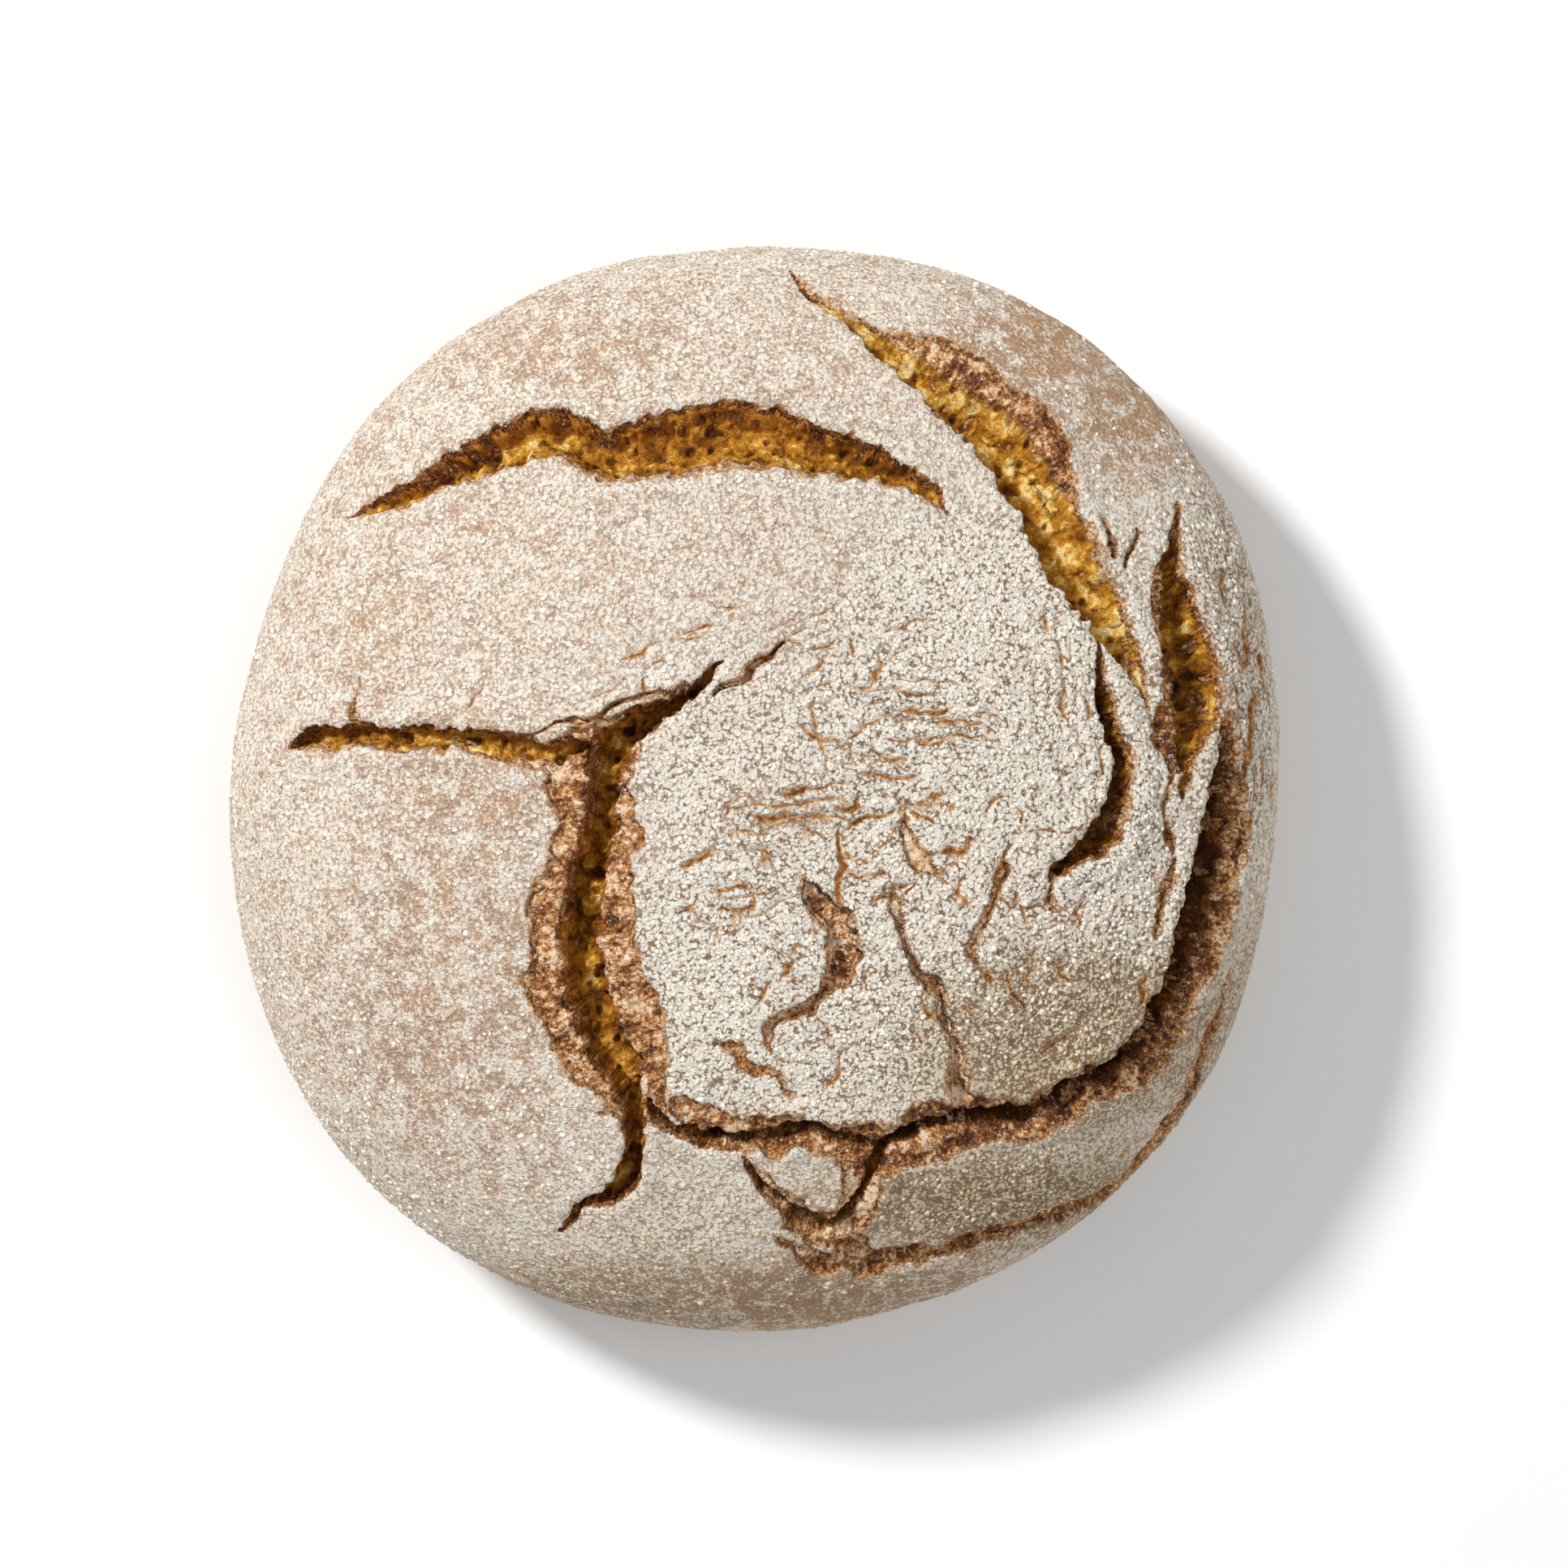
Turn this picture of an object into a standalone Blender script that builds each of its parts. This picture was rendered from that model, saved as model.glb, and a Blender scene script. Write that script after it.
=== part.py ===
# A round, uncut sourdough loaf, baked free on a flat stone: one solid, its crust burst open in ragged cracks.
import math

import bmesh
import bpy
import numpy as np

MM = 0.001

# The body
MEAN_RADIUS = 119.6 * MM
HEIGHT = 89 * MM
WAIST_HEIGHT = 33 * MM  # height of the widest section above the base
DOME_FULLNESS = 2.15  # 2 gives an ellipse, more gives a fuller dome
TUCK_UNDER = 0.22  # how far the side would draw in below the waist, as a share of the radius
FLATTENED = 1.5 * MM  # how much of the rounded belly the stone has pressed flat
# How the outline leaves a circle: waves around the loaf, their size, their phase in degrees
OUTLINE_WAVES = [(2, 2.80 * MM, -136.9), (3, 0.56 * MM, 162.6), (4, 1.57 * MM, -171.7), (5, 0.48 * MM, -173.3)]

# The swelling of the crust: spacing and size of the humps, and the seed that places them
HUMPS = [(46 * MM, 1.3 * MM, 3), (15 * MM, 0.45 * MM, 4)]
LATTICE = 24  # points on each side of the table of heights that the humps are drawn from
LIP_HEIGHT = 0.9 * MM  # how far the crust stands up beside a crack
LIP_WIDTH = 4 * MM
BASE_FADE = 14 * MM  # height over which humps die away towards the flat base
WAIST_FADE = 9 * MM  # height over which cracks die away towards the widest section

# The mesh
GRID = 340  # squares along each side of the grid that is bent over the loaf
TRIANGLES = 11000  # what the grid is thinned to
CURVE_STEPS = 6  # pieces that each stretch between two points of a crack is read at
MIN_HALF_WIDTH = 0.2 * MM

# Each crack in millimetres: its depth, the share of its half width that the wall on the left and on the right
# of its route takes up, and points of the route, seen from above, with the half width there
CRACKS = {
    "arc": (10, 0.5, 1.15, [
        (-90, 59, 0.4), (-77, 63, 2.8), (-62, 70, 4.2), (-43, 75, 5.4), (-36, 71, 5.4), (-20, 72, 7.1),
        (-3, 75, 7.5), (13, 72, 5.5), (28, 68, 3.5), (38, 62, 1.0)]),
    "ridge": (10, 1.0, 0.5, [
        (6, 116, 0.7), (19, 102, 1.9), (38, 88, 5.2), (53, 76, 7.2), (59, 67, 8.2), (65, 56, 6.6),
        (70, 46, 6.4), (75, 38, 4.7), (80, 28, 2.6), (85, 16, 0.3)]),
    "inner_slit": (7, 0.8, 0.5, [
        (72, 32, 0.3), (77, 12, 2.3), (78, 0, 2.4), (74, -10, 3.8), (66, -16, 1.4), (62, -18, 0.3)]),
    "side_gash": (8, 0.9, 0.5, [
        (92, 62, 0.5), (90, 50, 2.3), (94, 28, 6.7), (95, 12, 4.6), (92, -2, 0.5)]),
    "flank_split": (8, 0.9, 0.6, [
        (102, 14, 1.0), (101, -5, 3.0), (97, -22, 3.8), (92, -40, 3.4), (81, -58, 3.6), (62, -69, 3.0),
        (46, -71, 2.8), (26, -78, 2.6)]),
    "foot_split": (7, 0.8, 0.8, [
        (-24, -68, 2.4), (-14, -74, 2.0), (7, -74, 2.0), (17, -75, 1.9), (26, -78, 2.6)]),
    "trench_split": (10, 0.6, 0.7, [
        (-7, 28, 0.4), (-13, 21, 2.0), (-29, 11, 4.7), (-33, -2, 4.3), (-36, -20, 5.0), (-38, -38, 5.6),
        (-34, -52, 5.4), (-27, -67, 3.6), (-28, -83, 2.4), (-42, -95, 0.4)]),
    "left_branch": (5, 0.4, 1.1, [
        (-102, 9, 0.5), (-87, 12, 2.6), (-67, 11, 2.6), (-51, 8, 3.0), (-38, 8, 2.8)]),
    "s_crack": (5, 0.9, 0.5, [
        (10, -20, 0.7), (17, -30, 3.4), (16, -40, 3.1), (8, -48, 1.2), (3, -57, 0.2)]),
    "down_crack": (4, 0.8, 0.8, [
        (28, -22, 0.3), (31, -34, 1.2), (39, -43, 1.4), (42, -58, 2.4), (44, -68, 3.1)]),
    "chin_split": (5, 0.8, 0.8, [
        (26, -78, 2.0), (22, -90, 1.8), (15, -95, 2.6), (2, -86, 1.4), (-3, -79, 0.3)]),
}
# Bands beside the deep cracks where the skin has torn off the crust, described in the same way
TEARS = {
    "trench_tear": (2.4, 0.25, 0.25, [
        (-25, 14, 2.1), (-34, 3, 8.6), (-33, -11, 9.7), (-37, -30, 11.7), (-36, -45, 12.6), (-30, -57, 11.1),
        (-20, -72, 2.4)]),
    "flank_tear": (2.2, 0.3, 0.3, [
        (102, 16, 0.9), (100, -5, 4.4), (97, -23, 5.6), (92, -41, 5.0), (81, -59, 5.4), (64, -69, 5.4),
        (49, -72, 6.4), (25, -81, 5.8)]),
    "foot_tear": (2.0, 0.3, 0.3, [(-18, -68, 2.8), (0, -74, 5.6), (25, -78, 5.9)]),
    "chin_tear": (2.2, 0.3, 0.3, [(26, -79, 4.2), (20, -92, 4.4), (16, -98, 4.6), (2, -86, 4.2), (-3, -79, 1.6)]),
    "rim_tear": (1.8, 0.4, 0.4, [
        (5, -98, 1.6), (22, -104, 3.4), (55, -97, 2.2), (83, -86, 1.9), (96, -63, 1.5), (103, -40, 0.5)]),
}

# The crust's finish
CRUST_COLOUR = (0.56, 0.42, 0.27, 1)
CRUST_ROUGHNESS = 0.9


def clear_scene():
    for thing in list(bpy.data.objects):
        bpy.data.objects.remove(thing)


def eased(share):
    # Runs from 0 to 1 with soft ends
    share = np.clip(share, 0, 1)
    return share * share * (3 - 2 * share)


def outline_radius(angle):
    return MEAN_RADIUS + sum(size * np.cos(n * angle + math.radians(phase)) for n, size, phase in OUTLINE_WAVES)


def side_profile():
    # Share of the length along the surface, share of the radius and height, from the top to the base's edge
    share = np.sin(np.linspace(0, math.pi / 2, 400))
    dome = WAIST_HEIGHT + (HEIGHT - WAIST_HEIGHT) * np.sqrt(1 - share**DOME_FULLNESS)
    drop = np.linspace(0, WAIST_HEIGHT, 200)[1:]
    belly = 1 - TUCK_UNDER + TUCK_UNDER * np.sqrt(1 - (drop / (WAIST_HEIGHT + FLATTENED)) ** 2)
    shares = np.concatenate([share, belly])
    heights = np.concatenate([dome, WAIST_HEIGHT - drop])
    steps = np.hypot(np.diff(shares) * MEAN_RADIUS, np.diff(heights))
    length = np.concatenate([[0], np.cumsum(steps)])
    return length / length[-1], shares, heights


def bare_body():
    # A square grid bent over the loaf, so that its rings become the loaf's rings: points[row, column, xyz]
    u, v = np.meshgrid(np.linspace(-1, 1, GRID + 1), np.linspace(-1, 1, GRID + 1))
    wide = abs(u) >= abs(v)
    signed_ring = np.where(wide, u, v)
    turn = np.where(wide, v, u) / np.where(signed_ring == 0, 1, signed_ring) * math.pi / 4
    angle = np.where(wide, turn, math.pi / 2 - turn) + np.where(signed_ring < 0, math.pi, 0)
    length, shares, heights = side_profile()
    ring = abs(signed_ring)
    radius = np.interp(ring, length, shares) * outline_radius(angle)
    z = np.interp(ring, length, heights)
    return np.stack([radius * np.cos(angle), radius * np.sin(angle), z], axis=2)


def outward(points):
    # Unit normals of the bent grid
    across = np.gradient(points, axis=1)
    up = np.gradient(points, axis=0)
    normal = np.cross(across, up)
    return normal / np.linalg.norm(normal, axis=2, keepdims=True)


def humps(points, spacing, seed):
    # Smooth heights between -1 and 1, drawn from a seeded table and blended between its points
    table = np.random.default_rng(seed).uniform(-1, 1, (LATTICE, LATTICE, LATTICE))
    place = points / spacing + LATTICE / 2
    low = np.floor(place).astype(int)
    blend = eased(place - low)
    total = np.zeros(points.shape[:-1])
    for corner in np.ndindex(2, 2, 2):
        at = (low + corner) % LATTICE
        weight = np.prod(np.where(np.array(corner) == 1, blend, 1 - blend), axis=-1)
        total += weight * table[at[..., 0], at[..., 1], at[..., 2]]
    return total


def curve_through(points):
    # A smooth curve through a route's points, their half widths carried along, in metres
    given = np.array(points) * MM
    given = np.vstack([2 * given[0] - given[1], given, 2 * given[-1] - given[-2]])
    t = np.linspace(0, 1, CURVE_STEPS, endpoint=False)[:, None]
    stretches = []
    for before, start, end, after in zip(given[:-3], given[1:-2], given[2:-1], given[3:]):
        bend = 2 * before - 5 * start + 4 * end - after
        twist = 3 * start - before - 3 * end + after
        stretches.append(start + (end - before) * t / 2 + bend * t**2 / 2 + twist * t**3 / 2)
    return np.vstack(stretches + [given[-2:-1]])


def beside(route, x, y):
    # For each point, its offset from the route, positive to the left, and the crack's half width there
    start, run = route[:-1], np.diff(route, axis=0)
    dx, dy = x[:, None] - start[:, 0], y[:, None] - start[:, 1]
    t = np.clip((dx * run[:, 0] + dy * run[:, 1]) / (run[:, 0] ** 2 + run[:, 1] ** 2), 0, 1)
    away = np.hypot(dx - t * run[:, 0], dy - t * run[:, 1])
    near = np.argmin(away, axis=1)
    row = np.arange(len(x))
    left = run[near, 0] * dy[row, near] - run[near, 1] * dx[row, near]
    half = start[near, 2] + t[row, near] * run[near, 2]
    return np.where(left > 0, 1, -1) * away[row, near], np.maximum(half, MIN_HALF_WIDTH)


def opened(cracks, x, y):
    # How deep the cracks are at each point, and how far the crust beside them stands up
    deep, lip = np.zeros_like(x), np.zeros_like(x)
    for depth, left_wall, right_wall, points in cracks.values():
        route = curve_through(points)
        offset, half = beside(route, x, y)
        share = offset / half
        wall = np.where(share > 0, left_wall, right_wall)
        widest = route[:, 2].max()
        here = depth * MM * eased((1 - abs(share)) / wall) * eased(2 * half / widest)
        deep = np.maximum(deep, here)
        outside = (abs(offset) - half) / LIP_WIDTH
        lip = np.maximum(lip, eased(2 * half / widest) * np.exp(-((outside - 0.5) ** 2) * 3))
    return deep, lip * LIP_HEIGHT


def loaf_points():
    body = bare_body()
    normal = outward(body)
    flat = body.reshape(-1, 3)
    crown = flat[:, 2] > WAIST_HEIGHT
    fade = eased((flat[crown, 2] - WAIST_HEIGHT) / WAIST_FADE)
    split, tear, lip = np.zeros(len(flat)), np.zeros(len(flat)), np.zeros(len(flat))
    deep, beside_split = opened(CRACKS, flat[crown, 0], flat[crown, 1])
    torn, _ = opened(TEARS, flat[crown, 0], flat[crown, 1])
    split[crown], tear[crown], lip[crown] = fade * deep, fade * torn, fade * beside_split
    swell = sum(size * humps(flat, spacing, seed) for spacing, size, seed in HUMPS)
    closed = 1 - eased(split / (2 * MM))
    rise = eased(flat[:, 2] / BASE_FADE) * (swell + lip * closed) - tear - split
    points = flat + rise[:, None] * normal.reshape(-1, 3)
    middle = (points.min(axis=0) + points.max(axis=0)) / 2
    return points - [middle[0], middle[1], 0]


def loaf_mesh():
    # The grid as faces, with one flat face closing it underneath
    mesh = bpy.data.meshes.new("loaf")
    shell = bmesh.new()
    side = GRID + 1
    verts = [shell.verts.new(point) for point in loaf_points()]
    for row in range(GRID):
        for column in range(GRID):
            corner = row * side + column
            shell.faces.new([verts[corner], verts[corner + 1], verts[corner + side + 1], verts[corner + side]])
    rim = [edge for edge in shell.edges if edge.is_boundary]
    bmesh.ops.contextual_create(shell, geom=rim)
    bmesh.ops.triangulate(shell, faces=shell.faces[:])
    bmesh.ops.recalc_face_normals(shell, faces=shell.faces[:])
    shell.to_mesh(mesh)
    shell.free()
    return mesh


def crust_material():
    material = bpy.data.materials.new("crust")
    material.use_nodes = True
    shader = material.node_tree.nodes["Principled BSDF"]
    shader.inputs["Base Color"].default_value = CRUST_COLOUR
    shader.inputs["Roughness"].default_value = CRUST_ROUGHNESS
    shader.inputs["Metallic"].default_value = 0
    return material


def build_loaf():
    mesh = loaf_mesh()
    mesh.materials.append(crust_material())
    loaf = bpy.data.objects.new("loaf", mesh)
    bpy.context.scene.collection.objects.link(loaf)
    thin = loaf.modifiers.new("thin", "DECIMATE")
    thin.ratio = TRIANGLES / len(mesh.polygons)
    mesh.shade_smooth()


clear_scene()
build_loaf()
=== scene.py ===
import math

import bpy
import numpy as np
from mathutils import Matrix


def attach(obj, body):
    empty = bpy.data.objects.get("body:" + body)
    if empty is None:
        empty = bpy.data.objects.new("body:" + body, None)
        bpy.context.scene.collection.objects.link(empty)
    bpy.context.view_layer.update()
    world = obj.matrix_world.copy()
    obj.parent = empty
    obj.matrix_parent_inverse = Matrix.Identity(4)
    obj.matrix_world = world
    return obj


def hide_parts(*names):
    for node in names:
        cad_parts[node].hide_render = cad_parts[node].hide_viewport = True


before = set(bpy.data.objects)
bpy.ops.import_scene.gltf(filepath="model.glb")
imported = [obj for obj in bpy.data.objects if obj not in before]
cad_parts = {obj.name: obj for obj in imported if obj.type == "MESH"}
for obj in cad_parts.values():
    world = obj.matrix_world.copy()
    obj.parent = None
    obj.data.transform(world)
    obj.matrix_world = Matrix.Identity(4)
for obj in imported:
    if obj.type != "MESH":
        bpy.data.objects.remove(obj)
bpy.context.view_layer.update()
mm = 0.001

# The loaf is worked out in millimetres about the centre of its outline, and moved to the frame at the end

view = {
    "perPixel": 0.18,
    "photo": 1932,
    "distance": 1200,
    "middle": (6.5, 1.1),
    "toOutline": (-1.0, 0.2),  # from the frame to the outline's centre
    "sensor": 36,
}
loafBody = {
    "meanRadius": 119.6,
    "height": 89,
    "waistHeight": 33,  # the widest section
    "domeFullness": 2.15,
    "tuckUnder": 0.22,
    "flattened": 1.5,
    "outlineWaves": [(2, 2.80, -136.9), (3, 0.56, 162.6), (4, 1.57, -171.7), (5, 0.48, -173.3)],
    "humps": [(46, 1.3, 3), (15, 0.45, 4)],  # spacing, size, seed
    "lipHeight": 0.9,
    "lipWidth": 4,
    "baseFade": 14,
    "waistFade": 9,
}

# Routes of the cracks from above: depth, wall share left and right, how dark baked, and x, y, half width
cracks = {
    "arc": (6.8, 0.45, 1.15, 0.36, [
        (-90.4, 58.9, 0.4), (-77.1, 62.7, 2.4), (-61.6, 70.0, 4.0), (-51.7, 73.9, 4.9), (-42.9, 75.6, 5.4),
        (-37.0, 72.6, 5.2), (-33.0, 70.6, 5.6), (-20.1, 72.1, 7.0), (-11.5, 73.9, 7.9), (-2.8, 75.1, 7.5),
        (12.8, 71.7, 5.6), (28.4, 67.6, 3.6), (38.0, 62.0, 1.2), (43.5, 56.4, 0.2)]),
    "ridge": (7.5, 1.1, 0.35, 0.12, [
        (5.9, 115.7, 0.4), (11.5, 108.2, 0.9), (19.1, 102.5, 1.5), (26.9, 95.9, 2.6), (37.7, 87.8, 4.8),
        (45.2, 83.0, 6.4), (53.0, 76.0, 7.2), (59.0, 66.8, 7.8), (64.9, 56.3, 6.8), (69.5, 46.2, 6.2),
        (75.3, 37.7, 4.7), (79.9, 28.5, 2.6), (82.7, 22.8, 1.4), (84.9, 15.8, 0.3)]),
    "innerSlit": (7, 0.9, 0.35, 0.8, [
        (72.3, 31.9, 0.3), (74.3, 19.7, 1.7), (76.8, 11.9, 2.3), (78.0, 5.9, 2.5), (77.9, -0.2, 2.4),
        (76.3, -6.0, 3.0), (74.0, -10.5, 3.6), (70.1, -13.6, 2.6), (66.2, -16.0, 1.4), (62.2, -17.5, 0.5),
        (62.8, -26.0, 0.3)]),
    "sideGash": (8, 0.8, 0.45, 0.5, [
        (92.3, 61.5, 0.5), (90.5, 50.1, 2.0), (92.7, 36.7, 4.6), (94.4, 27.8, 6.4), (95.8, 18.9, 5.6),
        (94.7, 12.2, 4.2), (92.7, 5.4, 2.1), (91.8, -2.0, 0.5)]),
    "flankSplit": (8.5, 0.7, 0.5, 1.05, [
        (102.5, 12.0, 1.0), (101.3, 4.0, 2.6), (101.0, -5.0, 3.2), (99.8, -14.0, 4.0), (97.2, -23.0, 4.5),
        (94.8, -31.5, 4.0), (92.2, -40.5, 3.7), (87.4, -49.3, 3.4), (80.8, -58.4, 3.2), (71.0, -64.6, 2.6),
        (62.8, -68.4, 2.4), (56.4, -71.0, 2.6), (46.0, -71.1, 2.0), (38.6, -72.4, 1.7), (31.1, -75.2, 1.7),
        (26.1, -77.6, 1.7)]),
    "footSplit": (7.5, 0.7, 0.7, 0.9, [
        (-23.6, -68.4, 1.7), (-19.1, -71.9, 1.3), (-13.7, -74.1, 1.4), (-2.4, -75.7, 1.5), (6.8, -74.3, 1.7),
        (11.1, -73.6, 1.5), (17.0, -74.7, 1.2), (22.1, -76.3, 1.2), (26.1, -77.6, 1.5)]),
    "trenchSplit": (8.5, 0.4, 0.5, 0.28, [
        (-6.9, 27.7, 0.3), (-9.6, 25.6, 0.9), (-12.7, 21.0, 1.7), (-22.5, 15.3, 3.2), (-28.9, 10.6, 4.3),
        (-32.7, 5.0, 4.0), (-32.9, -1.9, 4.1), (-34.1, -10.6, 4.8), (-36.2, -20.1, 4.6), (-37.9, -30.4, 4.7),
        (-37.5, -38.2, 5.2), (-36.6, -45.2, 5.2), (-33.9, -52.1, 5.0), (-30.5, -58.6, 4.4),
        (-27.0, -67.0, 3.2), (-26.2, -74.9, 2.1), (-27.9, -83.0, 2.1), (-33.4, -88.1, 1.7),
        (-37.5, -90.3, 1.3), (-42.4, -95.0, 0.4)]),
    "leftBranch": (5, 0.3, 1.1, 0.15, [
        (-102.1, 9.2, 0.5), (-96.6, 10.5, 3.0), (-87.4, 11.4, 3.0), (-77.5, 9.8, 2.9), (-66.9, 10.6, 2.9),
        (-58.1, 9.6, 3.2), (-51.1, 8.0, 3.2), (-45.0, 7.0, 3.0), (-38.1, 8.2, 2.6)]),
    "chinSplit": (5.5, 0.7, 0.7, 0.6, [
        (26.1, -78.5, 1.5), (23.7, -83.9, 1.3), (21.3, -90.2, 1.3), (18.1, -94.2, 1.8), (14.3, -95.2, 2.2),
        (8.5, -91.9, 1.3), (2.4, -86.1, 1.2), (-1.9, -80.4, 0.3)]),
}
# Bands where the skin has torn off the crust, described in the same way
tears = {
    "trenchTear": (2.0, 0.2, 0.2, 0.5, [
        (-25.1, 14.4, 2.1), (-29.4, 11.3, 5.2), (-34.1, 3.2, 8.2), (-33.6, -2.8, 8.8), (-32.9, -10.6, 9.7),
        (-35.8, -20.1, 10.3), (-36.9, -30.4, 11.7), (-37.3, -38.2, 12.3), (-35.9, -45.2, 12.6),
        (-33.0, -51.2, 12.4), (-30.1, -57.3, 11.1), (-26.0, -63.8, 9.0), (-22.5, -68.7, 5.9),
        (-19.8, -71.9, 2.4)]),
    "branchTear": (1.4, 0.3, 0.3, 0.5, [(-50, 8.6, 2.8), (-42, 8.0, 4.6), (-35.5, 9.0, 5.2)]),
    "flankTear": (1.8, 0.3, 0.3, 0.7, [
        (102.0, 15.6, 0.9), (101.4, 6.8, 3.4), (101.0, -4.6, 4.8), (100.2, -14.3, 5.4), (97.8, -22.9, 6.2),
        (96.4, -31.9, 5.6), (93.2, -40.8, 5.0), (88.4, -49.8, 4.6), (81.3, -59.5, 4.8), (71.5, -65.0, 4.2),
        (63.5, -68.9, 4.6), (56.0, -72.3, 5.8), (48.7, -71.5, 6.4), (38.9, -73.6, 6.4), (30.3, -77.7, 5.7),
        (24.7, -80.8, 4.2)]),
    "footTear": (1.7, 0.3, 0.3, 0.6, [
        (-17.5, -67.8, 3.2), (-9.7, -72.7, 4.7), (-0.2, -74.3, 5.6), (8.5, -73.6, 5.0), (17.2, -76.1, 5.2),
        (25.0, -78.5, 5.9)]),
    "cheekTear": (1.8, 0.3, 0.3, 0.5, [
        (-3.1, -79.3, 1.0), (2.4, -86.1, 3.2), (8.5, -91.9, 4.5), (15.0, -96.4, 4.9), (22.1, -100.4, 4.0)]),
    "chinTear": (1.8, 0.3, 0.3, 0.35, [
        (25.7, -79.0, 3.4), (23.0, -85.1, 3.6), (20.9, -91.1, 3.6), (18.9, -97.5, 3.4)]),
    "gashTear": (1.5, 0.2, 0.2, 0.8, [
        (89.4, 50, 1.6), (89.4, 40, 3.4), (90.0, 26, 5.0), (90.6, 14, 4.6), (90.8, 4, 1.8)]),
    "ridgeTear": (1.4, 0.25, 0.25, 0.7, [
        (32, 96, 1.4), (46, 90, 3.6), (57, 81, 5.0), (63.6, 71, 4.0), (66, 62, 1.6)]),
    "sCrack": (4.0, 0.35, 0.9, 0.2, [
        (9.2, -19.0, 0.3), (13.1, -24.9, 2.0), (16.6, -30.4, 3.5), (17.0, -35.6, 3.5), (15.6, -40.4, 3.2),
        (12.5, -44.9, 2.3), (7.6, -48.2, 1.1), (3.3, -50.3, 0.9), (2.4, -53.8, 0.7), (3.3, -57.4, 0.2)]),
    "downCrack": (3.6, 0.6, 0.8, 0.1, [
        (28.3, -21.8, 0.4), (29.9, -27.8, 1.1), (30.9, -34.2, 1.2), (33.9, -39.8, 1.3), (38.7, -42.4, 1.8),
        (40.0, -47.4, 1.6), (41.2, -52.2, 2.2), (42.3, -58.3, 3.1), (43.0, -63.6, 3.6), (44.1, -68.2, 3.8)]),
    "upperSlit": (2.2, 0.5, 0.9, 0.3, [
        (-8.9, 19.9, 0.4), (-3.1, 22.3, 0.7), (-0.1, 25.5, 0.7), (2.6, 27.7, 0.5), (5.5, 29.9, 0.3)]),
    "leftLip": (1.8, 0.5, 0.9, 0.4, [
        (-59.9, 12.6, 0.3), (-51.1, 11.4, 0.5), (-42.4, 13.1, 0.7), (-33.8, 15.5, 0.8), (-23.4, 18.6, 0.9),
        (-14.8, 21.0, 0.7)]),
    "leftSpur": (3, 0.5, 0.5, 0.2, [(-86.6, 19.0, 0.3), (-86.0, 14.0, 1.0), (-84.5, 11.5, 1.4)]),
    "nickA": (1.6, 0.5, 0.5, 0.9, [(74.7, 57.7, 0.3), (75.6, 54.0, 0.8), (77.0, 49.9, 0.4)]),
    "nickB": (1.4, 0.5, 0.5, 0.5, [(82.0, 55.5, 0.3), (80.6, 51.5, 0.7), (79.8, 47.4, 0.3)]),
    "brow": (1.3, 0.4, 0.4, 0.3, [
        (30.4, -5.4, 0.3), (30.7, -9.7, 1.0), (32.6, -13.5, 1.6), (35.2, -16.6, 1.6), (37.8, -19.0, 0.3)]),
    "freckle": (1.0, 0.4, 0.4, 0.2, [
        (-8.6, -55.3, 0.3), (-5.2, -56.6, 1.1), (-2.8, -59.7, 1.3), (1.4, -60.2, 0.9), (4.5, -60.8, 1.0),
        (6.2, -63.9, 1.0), (7.8, -65.7, 0.3)]),
    "cheekLine": (1.3, 0.4, 0.4, 0.4, [
        (52.9, -16.3, 0.5), (50.8, -21.5, 1.0), (48.8, -26.7, 0.9), (46.2, -31.7, 0.7), (45.6, -34.3, 0.5),
        (47.1, -38.1, 0.2)]),
    "sideLine": (1.3, 0.4, 0.4, 0.6, [
        (87.2, 9.4, 0.6), (89.0, 1.7, 1.1), (86.6, -4.6, 1.1), (89.4, -12.2, 1.0), (89.8, -17.4, 0.8),
        (87.0, -25.5, 1.0), (86.3, -31.0, 0.7)]),
    "rimTear": (1.5, 0.3, 0.3, 0.7, [
        (5.0, -98.5, 1.2), (12.9, -101.6, 2.8), (21.7, -103.6, 3.2), (30.6, -103.0, 2.5), (39.4, -101.5, 2.0),
        (55.1, -97.1, 1.8), (71.0, -92.2, 1.6), (82.9, -86.1, 1.5), (91.4, -74.4, 1.4), (96.1, -63.4, 1.2),
        (100.0, -51.6, 1.0), (103.3, -40.0, 0.5)]),
}

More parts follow.
